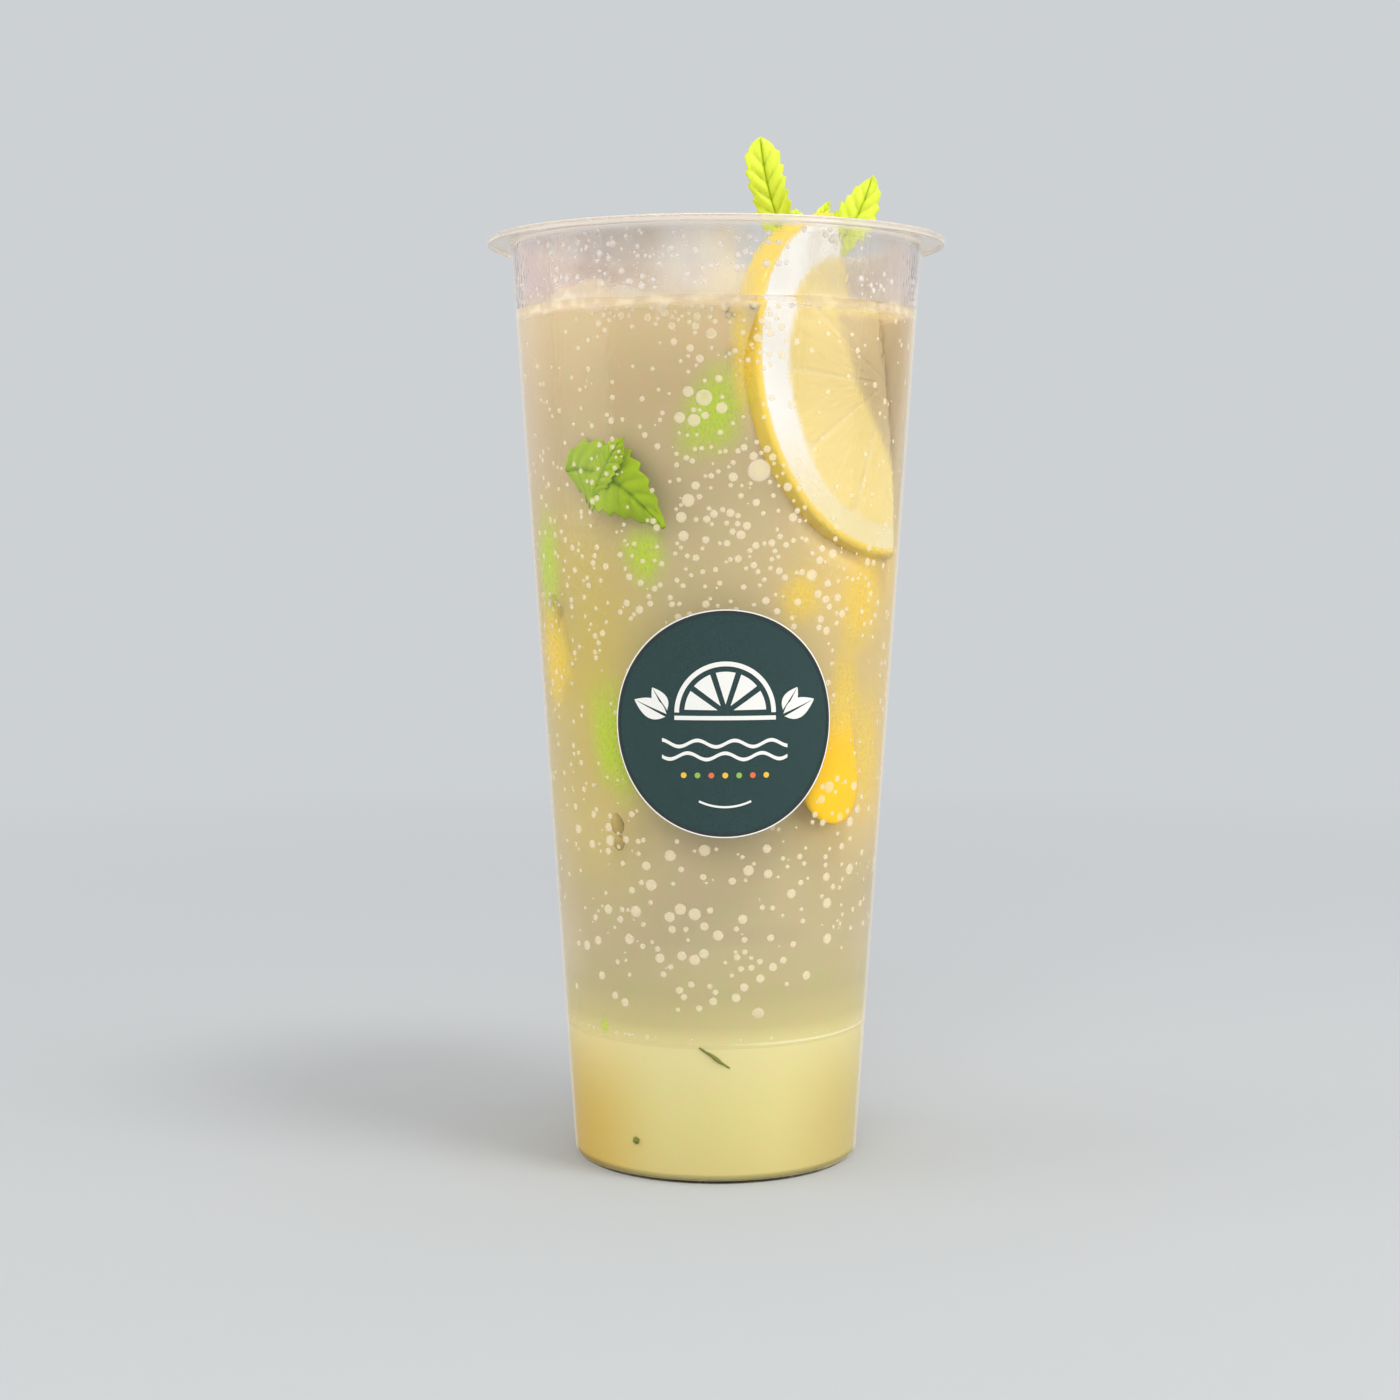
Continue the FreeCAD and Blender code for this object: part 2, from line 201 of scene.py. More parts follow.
# direction to the lamp, distance, width, power in watts, colour
lamps = [
    ((0.37, -0.31, 0.875), 1.2, 0.30, 5.2, (1.0, 0.98, 0.95)),
    ((-0.97, -0.10, 0.22), 1.1, 0.80, 4.0, (1.0, 0.93, 0.86)),
    ((0.92, -0.34, 0.22), 1.1, 0.80, 3.9, (1.0, 0.95, 0.87)),
    ((-0.15, -0.80, 0.62), 1.3, 0.60, 3.0, (1.0, 1.0, 0.98)),
]
for number, (direction, away, width, watts, colour) in enumerate(lamps, start=1):
    lamp = bpy.data.lights.new(f"lamp_{number}", "AREA")
    lamp.size, lamp.energy, lamp.color = width, watts, colour
    holder = add_object(f"lamp_{number}", lamp)
    holder.visible_glossy = number == 1
    way = Vector(direction).normalized()
    holder.location = aim + way * away
    holder.rotation_euler = way.to_track_quat("Z", "Y").to_euler()


# -------------------- cup
# Thin clear plastic, drawn hot over a plug in one piece with its ledge, collar and flat rim. It is
# the CAD shell itself; only its finish is made here, clear in the wall and milky in the thick rim.

rim_fold = 180.2 * MM, 180.9 * MM    # the plastic turns milky between these heights
colourless = (1, 1, 1, 1)


def noise_in(scale, detail=2.0, **more):
    """Uneven patches from 0 to 1; a higher scale makes them finer."""
    return put("TexNoise", Scale=scale, Detail=detail, **more)


def bumps(height, strength, high):
    return put("Bump", Strength=strength, Distance=high * MM, Height=height)


def stuff(colour, roughness, shine=0.5, **more):
    """What most pieces are made of; shine is how strongly the surface mirrors."""
    return put("BsdfPrincipled", Base_Color=colour, Roughness=roughness,
               Specular_IOR_Level=shine, **more)


def axes():
    """The place on a piece as X to the right, Y to the back and Z up."""
    return put("SeparateXYZ", Vector=where()).outputs


def let_light_in(shader):
    """A clear surface that lamps and soft light cross straight, so that what is inside is lit."""
    ray = put("LightPath").outputs
    share = calc("MAXIMUM", ray["Is Shadow Ray"], ray["Is Diffuse Ray"])
    return mix_shaders(share, shader, put("BsdfTransparent", Color=colourless))


def coat(node, material):
    """Gives a CAD mesh its finish."""
    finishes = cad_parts[node].data.materials
    finishes.clear()
    finishes.append(material)


clear_plastic = new_material("clear plastic")
plastic = stuff(colourless, 0.03, IOR=1.46, Transmission_Weight=1.0,
                Specular_Tint=(0.55, 0.55, 0.55, 1), Normal=bumps(noise_in(90.0), 0.12, 0.4))
milk = stuff("F2E8DC", 0.2)
folded = rise(axes()["Z"], *rim_fold, 0.0, 0.36)
# seen edge on, the plastic is thick and looks milky too; this pale edge is also a painted highlight,
# standing in for the bright outline that grazing light gives the wall
slant = put("LayerWeight", Blend=0.5).outputs["Facing"]
edge_haze_and_glint = rise(slant, 0.78, 0.91, 0.0, 0.55)
milk_and_edge_glint = calc("MAXIMUM", folded, edge_haze_and_glint)
finish(mix_shaders(milk_and_edge_glint, let_light_in(plastic), milk))
coat("cup", clear_plastic)


# -------------------- soda
# Cloudy lemon soda that fills the cup to a finger below the rim. Its outside is clear and bends
# light as water does; its cloud of juice and pulp starts some millimetres in. It is poured.

fit_gap = 0.15 * MM              # the CAD drink stands this far off the wall
ledge_step = 0.35 * MM           # the wall below the stacking ledge is this much thicker inside
wall_bite = 0.08 * MM            # the soda reaches this far into the wall, so no air shows
floor_rise = 2.6 * MM            # the cup's floor is pushed up this far in the middle
meniscus_rise, meniscus_reach = 0.9 * MM, 2.2 * MM
ruffle_height, ruffles_per_metre = 0.35 * MM, 95
cloud_depth = 5.2 * MM           # of the cloud's skin inside the wall
cloud_edge = 0.35 * MM           # the same near the bed of juice and under the surface
round_steps = 160                # points round the cup's axis in a turned piece

drink_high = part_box("drink")[1]
bed_low, bed_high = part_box("pulp_layer")
level = drink_high.z
ledge = bed_high.z - fit_gap
upper_radius = drink_high.x + fit_gap
lower_radius = bed_high.x + fit_gap + ledge_step
foot_radius = lower_radius - 4.4 * MM
taper = (upper_radius - lower_radius) / (level - bed_high.z)
juice_low = bed_low.z - fit_gap - wall_bite
cloud_top = level - 0.55 * MM


def ease(value, start, end):
    """Goes softly from 0 to 1 while the value goes from start to end."""
    share = min(max((value - start) / (end - start), 0), 1)
    return share * share * (3 - 2 * share)


def wall_radius(z):
    """Inside radius of the cup's wall at a height."""
    return upper_radius + (z - level) * taper


def bed_radius(z):
    """Inside radius of the thicker wall below the ledge."""
    return wall_radius(z) - ledge_step


def cloud_radius(z):
    """The cloud comes out to the wall near the bed of settled juice and under the surface."""
    off_bed = ease(z, ledge, ledge + 26 * MM)
    off_top = 1 - ease(z, cloud_top - 40 * MM, cloud_top + 4 * MM)
    return wall_radius(z) - cloud_depth * off_bed * off_top - cloud_edge


def soda_surface(x, y):
    """Height of the soda's top: it climbs the wall and is ruffled by what floats in it."""
    edge = wall_radius(level) - hypot(x, y)
    climb = meniscus_rise * math.exp(-max(edge, 0) / meniscus_reach * 2.2)
    ruffle = noise(Vector((x, y, 0)) * ruffles_per_metre) * ruffle_height
    return level - 0.2 * MM + climb + ruffle


def out_from_axis(place):
    return Vector((place.x, place.y, 0)).normalized()


def on_wall(degrees, z, depth=0.0):
    """A place inside the wall: degrees round from the front towards the right, height, depth."""
    angle, radius = radians(degrees), wall_radius(z) - depth
    return Vector((radius * sin(angle), -radius * cos(angle), z))


def row_faces(first, rows, count, closed=True):
    """Faces between rows of points; a closed row joins its last point to its first."""
    faces = []
    for row in range(rows):
        for step in range(count if closed else count - 1):
            a, b = first + row * count + step, first + row * count + (step + 1) % count
            faces.append((a, b, b + count, a + count))
    return faces


def end_faces(first, rows, count):
    """The two flat ends of a closed tube of rows."""
    return [tuple(range(start, start + count)) for start in (first, first + rows * count)]


def turned(outline, steps):
    """Points and faces of an outline of (radius, height) turned about the cup's axis."""
    points = [Vector((radius * x, radius * y, height))
              for radius, height in outline for x, y in circle(steps)]
    return points, row_faces(0, len(outline) - 1, steps)


def weld(mesh, closed):
    """Joins points that lie on each other, and turns the faces of a closed mesh outwards."""
    shell = bmesh.new()
    shell.from_mesh(mesh)
    bmesh.ops.remove_doubles(shell, verts=shell.verts, dist=0.001 * MM)
    if closed:
        bmesh.ops.recalc_face_normals(shell, faces=shell.faces)
    shell.to_mesh(mesh)
    shell.free()


def seat(piece, replaced=()):
    """Lets a piece ride on the cup, in place of the CAD nodes that it stands for."""
    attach(piece, "root")
    for node in replaced:
        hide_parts(node)


def add_piece(name, points, faces, material, slot, replaced=(), closed=True, **measures):
    """A smooth piece. A measure is a list with a number for every point, for the material."""
    piece = add_mesh(name, points, faces, material)
    for measure, values in measures.items():
        piece.data.attributes.new(measure, "FLOAT", "POINT").data.foreach_set("value", values)
    weld(piece.data, closed)
    piece.data.shade_smooth()
    seat(piece, replaced)
    return piece


def colours_along(share, *stops):
    """Colours along a share from 0 to 1; each stop is a place and a colour."""
    node = put("ValToRGB", Fac=share)
    steps = node.color_ramp.elements
    for step, (place, colour) in zip((steps[0], steps[1]), (stops[0], stops[-1])):
        step.position, step.color = place, hue(colour)
    for place, colour in stops[1:-1]:
        steps.new(place).color = hue(colour)
    return node


def blend(share, first, second, way="MIX"):
    """A colour that goes from the first to the second by a share."""
    node = put("Mix", data_type="RGBA", blend_type=way, Factor_Float=share, A_Color=first,
               B_Color=second)
    return node.outputs[2]


def wall_in(height):
    """The wall's inside radius, worked out in a material."""
    above = calc("SUBTRACT", height, level)
    return calc("MULTIPLY_ADD", above, taper, upper_radius)


def soda_colour():
    """Beige cloud over a yellow bed of settled juice, with yellow drifts and amber low sides. Painted
    light makes it paler at both sides, and a painted glint runs along the ledge.
    """
    place = where()
    apart = put("SeparateXYZ", Vector=place).outputs
    beside = calc("ABSOLUTE", apart["X"])

    def step(value, start, end, low=0.0, high=1.0):
        return rise(value, start * MM, end * MM, low, high)

    colour = colours_along(
        calc("DIVIDE", apart["Z"], level),
        (0.00, "D8CA84"), (0.08, "DED48E"), (0.16, "E4DBA0"), (0.185, "C2B986"), (0.22, "B2AA80"),
        (0.28, "B6AC8C"), (0.40, "C6B998"), (0.55, "C2B58E"), (0.75, "C0B292"), (0.90, "C8B48C"),
        (1.00, "DAC49A"))
    drift = noise_in(34.0, Roughness=0.45)
    tint = blend(rise(drift, 0.3, 0.7), "FAFBEE", "FFF8F2")
    colour = blend(1.0, colour, tint, "MULTIPLY")

    # painted light: above the bed the cloud is paler near the wall at both sides, more at the left,
    # standing in for the light that the cloudy soda carries to its edges
    near_wall = rise(calc("DIVIDE", beside, wall_in(apart["Z"])), 0.72, 0.96)
    painted_side_light = times(step(apart["Z"], 30, 50), near_wall, step(apart["X"], -1, 1, 0.42, 0.2))
    colour = blend(painted_side_light, colour, "F2DCC2")

    shifted = put("Mapping", Vector=place, Location=(0.31, 0.17, 0.05))
    pulp = rise(noise_in(26.0, 1.0, Vector=shifted), 0.30, 0.62, 0.45, 1.0)
    yellow = times(step(apart["Z"], 42, 78), step(apart["Z"], 142, 112),
                   step(beside, 6, 31, 0.15, 0.95), pulp)
    yellow_tone = blend(step(apart["X"], -12, 8), "C9B442", "E6C66C")
    colour = blend(yellow, colour, yellow_tone)

    sides = calc("MAXIMUM", step(apart["X"], -8, -26, 0.0, 0.95),
                 step(apart["X"], 10, 26, 0.0, 0.8))
    amber_tone = blend(step(apart["X"], -8, 8), "C8A538", "C6B062")
    colour = blend(times(step(apart["Z"], 36, 8), sides), colour, amber_tone)

    # painted highlight: the bed of juice ends in a bright line at the ledge, on the right side only,
    # standing in for the glint of the ledge
    off_ledge = calc("ABSOLUTE", calc("SUBTRACT", apart["Z"], ledge + 0.1 * MM))
    line = times(step(off_ledge, 0.35, 0.08, 0.0, 0.5), step(apart["X"], 0, 12))
    return blend(line, colour, "FBF4CC")


def filling(low, bite, corner):
    """Outline of what fills the cup's bottom, this far into the wall, with a cut corner."""
    heights = [low + corner, low + 1.5 * corner, 8 * MM, 16 * MM, ledge - MM, ledge - 0.3 * MM]
    return ([(0, low + floor_rise), (foot_radius - floor_rise, low + floor_rise), (foot_radius, low),
             (bed_radius(low) + bite - corner, low)] + [(bed_radius(z) + bite, z) for z in heights])


soda_material = new_material("clear skin of the soda")
# against the wall water hardly mirrors anything, so its mirroring is turned down
water = stuff(colourless, 0.0, IOR=1.33, Transmission_Weight=1.0,
              Specular_Tint=(0.05, 0.05, 0.05, 1))
haze = put("VolumeAbsorption", Color="DCC592", Density=5.0)
finish(let_light_in(water), Volume=haze)

outline = filling(juice_low, wall_bite, 0.15 * MM)
outline += [(bed_radius(ledge) + wall_bite, ledge - wall_bite)]
outline += [(wall_radius(z) + wall_bite, z)
            for z in (ledge - wall_bite, ledge + 0.1 * MM, ledge + MM, 60 * MM, 100 * MM, 140 * MM,
                      level - 0.3 * MM, level)]
top_rings = 40
outline += [(wall_radius(level) * (1 - (ring / top_rings) ** 1.5), level)
            for ring in range(1, top_rings + 1)]
points, faces = turned(outline, round_steps)
for point in points:
    if point.z > level - 0.1 * MM:
        point.z = soda_surface(point.x, point.y)
add_piece("soda", points, faces, soda_material, "cloudy_soda", ["drink"])


# -------------------- settled juice
# The heavier juice and pulp, a nearly solid yellow bed that fills the cup below the ledge.
# It has sunk out of the soda and fades into it upwards.

juice_material = new_material("settled juice")
fibres = rise(noise_in(420.0, 3.0, Roughness=0.6), 0.35, 0.75, 0.0, 0.12)
speckled = blend(fibres, soda_colour(), "F2E9BC")
finish(stuff(speckled, 0.6, 0.1))

juice_depth = 0.1 * MM           # of the bed's skin inside the wall
outline = filling(juice_low + 2 * wall_bite, -juice_depth, 0.7 * MM)
outline += [(bed_radius(z) - juice_depth, z) for z in (ledge + MM, ledge + 2 * MM)]
outline += [(0, ledge + 2 * MM)]
points, faces = turned(outline, round_steps)
add_piece("settled_juice", points, faces, juice_material, "settled_juice", ["pulp_layer"])


# -------------------- lemon half wheel
# Half of a thick fresh slice: waxy rind with pores, white pith, and flesh in segments between
# thin skins. It is cut with a knife and wedged upright between the walls at the front right.

rind_width, core_width = 1.2 * MM, 2.0 * MM
thin_pith, thick_pith = 4.4 * MM, 7.2 * MM      # at the bottom of the wheel, and at its side and top
segment_turn, segment_shift = radians(36), 0.22
membrane = 0.3 * MM              # the skin between two segments
behind_face = 3.0 * MM           # the cloud stands back to here behind the lemon's face
rings, spokes, layers = 64, 150, 8

slice_turn, slice_tilt, slice_roll = (radians(a) for a in (52, 8, 4))
face_way = Vector((sin(slice_turn) * cos(slice_tilt),
                   -cos(slice_turn) * cos(slice_tilt), sin(slice_tilt)))
level_way = Vector((cos(slice_turn), sin(slice_turn), 0))
rise_way = face_way.cross(level_way)
across = level_way * cos(slice_roll) + rise_way * sin(slice_roll)
upward = rise_way * cos(slice_roll) - level_way * sin(slice_roll)

corners = [v.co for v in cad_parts["lemon_slice"].data.vertices]
spans = [[c.dot(way) for c in corners] for way in (across, upward, face_way)]
slice_radius = (max(spans[1]) - min(spans[1])) / 2
slice_thickness = max(spans[2]) - min(spans[2])
slice_middle = (across * max(spans[0]) + upward * (max(spans[1]) + min(spans[1])) / 2
                + face_way * max(spans[2]))


def in_wheel(place):
    """A place seen from the wheel's middle: across, up and out of its face."""
    offset = place - slice_middle
    return offset.dot(across), offset.dot(upward), offset.dot(face_way)


def slice_polar(place):
    a, b, _ = in_wheel(place)
    return hypot(a, b), atan2(b, a)


def flesh_edge(angle):
    """Radius where the flesh ends and the pith begins."""
    pith = thin_pith + (thick_pith - thin_pith) * ease(sin(angle), -0.95, -0.2)
    return slice_radius - rind_width - pith


def flesh_share(radius, angle):
    """1 in the juicy part of a segment, 0 in the pith, the skins between and the core."""
    off = (angle / segment_turn + segment_shift) % 1.0
    from_skin = radius * sin(min(off, 1 - off) * segment_turn)
    corner = 1.6 * MM * (1 - ease(from_skin, 0, 3 * MM))
    edge = flesh_edge(angle) - corner
    return (ease(from_skin, membrane * 0.4, membrane * 1.6) * ease(radius, core_width, core_width + MM)
            * (1 - ease(radius, edge - 0.7 * MM, edge + 0.3 * MM)))


def pith_share(place):
    radius, angle = slice_polar(place)
    return ease(radius, flesh_edge(angle) - 0.9 * MM, flesh_edge(angle) + 0.6 * MM)


def rind_share(place):
    edge = slice_radius - rind_width
    return ease(slice_polar(place)[0], edge - 0.3 * MM, edge + 0.3 * MM)


def core_cloud(place):
    """How far the cloud hides the wheel: round its core, and towards its back."""
    a, b, off = in_wheel(place)
    from_core = a + 7.5 * MM - 0.45 * max(-b, 0) + 0.22 * max(b, 0)
    core = 0.9 * ease(from_core, -1.8 * MM, 1.8 * MM)
    back = 0.8 * ease(-off, 2.5 * MM, slice_thickness)
    return max(core, back) * ease(level - place.z, -1 * MM, 2 * MM)


def slice_point(radius, angle, depth):
    """A place in the half wheel; depth 0 is its front face and 1 its back."""
    spoke = across * cos(angle) + upward * sin(angle)
    bulge = 0.35 * MM * sin(pi * depth) * ease(radius, slice_radius * 0.9, slice_radius)
    place = slice_middle + spoke * (radius + bulge) - face_way * (slice_thickness * depth)
    if depth in (0, 1):
        flesh = flesh_share(radius, angle)
        grain = noise(Vector((radius * 260, angle * 26, 3.7 * depth)))
        relief = flesh * (0.10 + 0.12 * grain) * MM - 0.06 * MM * (1 - flesh)
        rounding = 0.35 * MM * ease(radius, slice_radius - 0.8 * MM, slice_radius)
        place += face_way * (relief - rounding) * (1 - 2 * depth)
    return place


def sunk(colour, murk, clouded=None):
    """The colour of a thing in the cloudy soda: it fades as it lies deeper, by murk in mm."""
    apart = axes()
    flat = calc("ADD", calc("POWER", apart["X"], 2.0), calc("POWER", apart["Y"], 2.0))
    inward = calc("SUBTRACT", wall_in(apart["Z"]), calc("SQRT", flat))
    depth = calc("MAXIMUM", inward, 0.0)
    veil = calc("SUBTRACT", 1.0, calc("EXPONENT", calc("DIVIDE", depth, -murk * MM)))
    veil = times(veil, rise(apart["Z"], level - 1.5 * MM, level, 1.0, 0.0))
    if clouded:
        veil = calc("MAXIMUM", veil, clouded)
    return blend(veil, colour, soda_colour())


def measured(name):
    """A number that is stored for every point of the piece."""
    return put("Attribute", attribute_name=name).outputs["Fac"]


def measure(piece, name, rule):
    """Stores a number for every point of a piece, worked out from its place."""
    layer = piece.data.attributes.new(name, "FLOAT", "POINT")
    layer.data.foreach_set("value", [rule(v.co) for v in piece.data.vertices])


cloud_material = new_material("cloud of juice")
finish(stuff(soda_colour(), 0.8, 0.0))

# the cloud rises out of the bed without a step and has a small round shoulder under the surface;
# it leaves the lemon's face free
outline = [(0, ledge - 4 * MM), (bed_radius(ledge - 4 * MM) - 1.5 * MM, ledge - 4 * MM),
           (bed_radius(ledge - 1.5 * MM) - 0.2 * MM, ledge - 1.5 * MM)]
heights = [ledge + (cloud_top - 1.2 * MM - ledge) * step / 90 for step in range(91)]
outline += [(cloud_radius(z), z) for z in heights]
shoulder = [(0, 0.7), (0.03, 0.4), (0.15, 0.15), (0.4, 0), (1, 0), (3, 0), (9, 0), (18, 0), (27, 0)]
outline += [(cloud_radius(cloud_top) - inset * MM, cloud_top - down * MM) for inset, down in shoulder]
outline += [(0, cloud_top)]
points, faces = turned(outline, round_steps)
for point in points:
    a, b, off = in_wheel(point)
    beside = max(a, hypot(a, b) - slice_radius)
    if off > -behind_face and beside < 5 * MM:
        point -= face_way * ((off + behind_face) * ease(beside, 5 * MM, 0))
    out = Vector((point.x, point.y, 0))
    if out.length > 12 * MM and point.z > ledge + 20 * MM:
        billow = noise(point * 60) * 0.5 * MM * ease(cloud_top - point.z, 0, 9 * MM)
        point += out.normalized() * billow
add_piece("soda_cloud", points, faces, cloud_material, "cloudy_soda")

lemon_material = new_material("cut lemon")
juice_drops = put("TexVoronoi", Scale=520.0)
flesh_tone = blend(rise(juice_drops, 0.1, 0.7), "FAE9A4", "F6DC80")
tone = blend(measured("flesh"), "F9E5A4", flesh_tone)
# painted light and shade: the pith is white at the top and yellower and darker lower down, offsetting
# the stronger lamp light on its lower end
painted_pith_shade = rise(axes()["Z"], 150 * MM, 126 * MM)
white_pith = blend(painted_pith_shade, "FFFFFC", "F3E4AC")
tone = blend(measured("pith"), tone, white_pith)
pores = put("TexVoronoi", Scale=900.0)
rind_tone = blend(rise(pores, 0.0, 0.5), "FFC62A", "FFDE50")
tone = blend(measured("rind"), tone, rind_tone)
tone = sunk(tone, 60, measured("clouded"))
finish(stuff(tone, 0.35, IOR=1.4, Coat_Weight=0.25, Coat_Roughness=0.1,
             Normal=bumps(pores, 0.5, 0.25)))

points, faces = [], []


def add_sheet(rows, columns, place):
    """A sheet of the wheel's skin; place gives radius, angle and depth for shares of the sheet."""
    faces.extend(row_faces(len(points), rows, columns + 1, closed=False))
    for i in range(rows + 1):
        for j in range(columns + 1):
            points.append(slice_point(*place(i / rows, j / columns)))


quarter, half = pi / 2, pi
for depth in (0, 1):
    add_sheet(rings, spokes, lambda i, j: (slice_radius * i, quarter + half * j, depth))
add_sheet(layers, spokes, lambda i, j: (slice_radius, quarter + half * j, i))
for angle in (quarter, quarter + half):
    add_sheet(layers, rings, lambda i, j: (slice_radius * j, angle, i))
lemon_slice = add_piece("lemon_half_wheel", points, faces, lemon_material, "lemon", ["lemon_slice"])
measure(lemon_slice, "flesh", lambda place: flesh_share(*slice_polar(place)))
measure(lemon_slice, "pith", pith_share)
measure(lemon_slice, "rind", rind_share)
measure(lemon_slice, "clouded", core_cloud)


# -------------------- lemon peel piece
# A second bit of lemon, the rounded end of a wedge, sunk against the wall beside the label.
# It lies with its yellow rind to the wall.

peel_high, peel_low, peel_side = 102 * MM, 69.0 * MM, 46.0
peel_width, peel_depth = 8.4 * MM, 3.6 * MM
rows, columns = 40, 24
points = []
for i in range(rows + 1):
    run = i / rows
    z = peel_low + (peel_high - peel_low) * run
    swell = sqrt(max(1 - (1 - min(run / 0.30, 1)) ** 2, 0)) * (1 - 0.35 * run) + 0.001
    swell *= sqrt(max(1 - max((run - 0.8) / 0.2, 0) ** 2, 0)) + 0.001
    middle = on_wall(peel_side + 1.0 * run - 3.0 * sin(pi * run), z,
                     0.5 * MM + 9.0 * MM * run ** 1.9)
    outward = out_from_axis(middle)
    sideways = Vector((-outward.y, outward.x, 0))
    for x, y in circle(columns):
        inward = (1 - x) / 2 * peel_depth * swell
        points.append(middle - outward * inward + sideways * (y * peel_width * swell))
faces = row_faces(0, rows, columns) + end_faces(0, rows, columns)

peel_material = new_material("lemon peel")
height = calc("DIVIDE", axes()["Z"], level)
peel_tone = colours_along(height, (0.40, "FFCE00"), (0.50, "FFC800"), (0.58, "F2C648"),
                          (0.66, "DFC88C"))
fade = rise(height, 0.50, 0.56)
pores = bumps(put("TexVoronoi", Scale=700.0), 0.35, 0.3)
finish(stuff(sunk(peel_tone, 60, fade), 0.5, 0.08, Normal=pores))
add_piece("lemon_peel", points, faces, peel_material, "lemon")


# -------------------- standing mint
# A sprig of fresh mint with toothed, quilted leaves and a knotted stem. It is picked whole and
# stuck into the drink behind the lemon.

leaf_thickness = 0.28 * MM
leaf_rows, leaf_columns = 72, 26
front, right, up = Vector((0, -1, 0)), Vector((1, 0, 0)), Vector((0, 0, 1))


def spot(x, y, z):
    """A place in millimetres."""
    return Vector((x * MM, y * MM, z * MM))


def leaf_width(run, blunt):
    """Share of the full width along the rib; a blunt leaf stays wide nearly to its tip."""
    pointed = 2.67 * run ** 0.6 * (1 - run) ** 0.85
    square = min(run * 6, 1) ** 0.7 * (1 - run ** 16) * (0.62 + 0.38 * run)
    return pointed + (square - pointed) * blunt


def leaf_mesh(foot, knee, tip, facing, half_width, twist=0.0, fold=0.30, teeth=11, seed=0.0, blunt=0.0):
    """A leaf along a bent rib, its half width in mm. Returns points and vein strengths."""
    points, veins = [], []
    length = (tip - foot).length
    quilt = 0.028 * length
    for i in range(leaf_rows + 1):
        run = i / leaf_rows
        rib = foot * (1 - run) ** 2 + knee * (2 * run * (1 - run)) + tip * run ** 2
        along = ((knee - foot) * (1 - run) + (tip - knee) * run).normalized()
        side = along.cross(facing).normalized()
        side = Quaternion(along, radians(twist) * run) @ side
        top = side.cross(along).normalized()
        width = half_width * MM * max(leaf_width(run, blunt), 0.03)
        tooth = (run * teeth) % 1.0
        for j in range(leaf_columns + 1):
            share = 2 * j / leaf_columns - 1
            out = abs(share)
            reach = width * share * (1 + 0.24 * (tooth - 0.5) * out ** 3)
            between = abs(sin(pi * (run * 8.5 - out * 1.25))) ** 0.6
            rib_line = math.exp(-(out / 0.07) ** 2)
            lift = fold * abs(reach) + quilt * between * (1 - out ** 3) * min(6 * (1 - run), 1)
            lift -= quilt * 1.1 * rib_line
            lift += 0.05 * length * out ** 2 * sin(run * 9 + seed + (2.2 if share > 0 else 0))
            points.append(rib + side * reach + top * lift)
            veins.append(min(1, rib_line + 0.75 * max(0, 1 - between * 1.9) * (1 - out ** 2)))
    return points, veins


def add_leaves(name, leaves, material, replaced=()):
    """Several leaves as one piece, each of real thickness."""
    points, faces, veins = [], [], []
    for leaf in leaves:
        faces += row_faces(len(points), leaf_rows, leaf_columns + 1, closed=False)
        leaf_points, leaf_veins = leaf_mesh(**leaf)
        points += leaf_points
        veins += leaf_veins
    piece = add_piece(name, points, faces, material, "mint", replaced, closed=False, vein=veins)
    thickness = piece.modifiers.new("thickness", "SOLIDIFY")
    thickness.thickness, thickness.offset = leaf_thickness, 0


def leaf_material(name, blade, bright, dark, vein, murk, gloss=0.5):
    """Mottled green with paler veins; murk is how deep in the soda the leaf can still be seen."""
    material = new_material(name)
    patches = noise_in(430.0, 4.0, Roughness=0.65)
    tone = blend(rise(patches, 0.46, 0.62), blade, bright)
    tone = blend(rise(patches, 0.50, 0.38), tone, dark)
    tone = blend(times(measured("vein"), 0.75), tone, vein)
    if murk:
        tone = sunk(tone, murk)
    surface = stuff(tone, 0.42, gloss, Coat_Weight=0.2 * gloss,
                    Normal=bumps(noise_in(1500.0), 0.3, 0.15))
    finish(mix_shaders(0.3, surface, put("BsdfTranslucent", Color=tone)))
    return material


mint_material = leaf_material("fresh mint", "F0FF3E", "FBFF62", "D0EA34", "C0DC30", None)
sprig_low, sprig_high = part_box("mint_sprig")
crown = spot(17.0, -2.5, 177.5)
tall_tip = Vector((8.6 * MM, -4.0 * MM, sprig_high.z - 0.2 * MM))
wide_tip = Vector((sprig_high.x - 0.6 * MM, 1.5 * MM, 195.0 * MM))
bud = crown + up * 1.5 * MM
standing = [
    dict(foot=crown, knee=spot(10.4, -4.2, 185), tip=tall_tip, facing=front + right * 0.1,
         half_width=3.9, twist=-12, fold=0.16, seed=0.4, blunt=1.0),
    dict(foot=crown, knee=spot(27.0, -2.0, 180), tip=wide_tip,
         facing=up * 0.3 + front * 1.2 - right * 0.4, half_width=4.2, twist=10, seed=1.9,
         blunt=0.5),
    dict(foot=crown, knee=spot(14, 6, 189), tip=spot(14, 17.5, 188.5), facing=up + front * 0.4,
         half_width=5.4, seed=3.1),
    dict(foot=bud, knee=spot(19.5, -1.6, 184), tip=spot(22.2, -1.4, 189.6),
         facing=front + right * 0.2, half_width=2.3, teeth=7, seed=2.2),
    dict(foot=bud, knee=spot(16, 0.5, 184.5), tip=spot(16, 4.5, 189), facing=front + up * 0.5,
         half_width=2.6, teeth=7, seed=0.9),
]
add_leaves("mint_leaves", standing, mint_material, ["mint_sprig"])

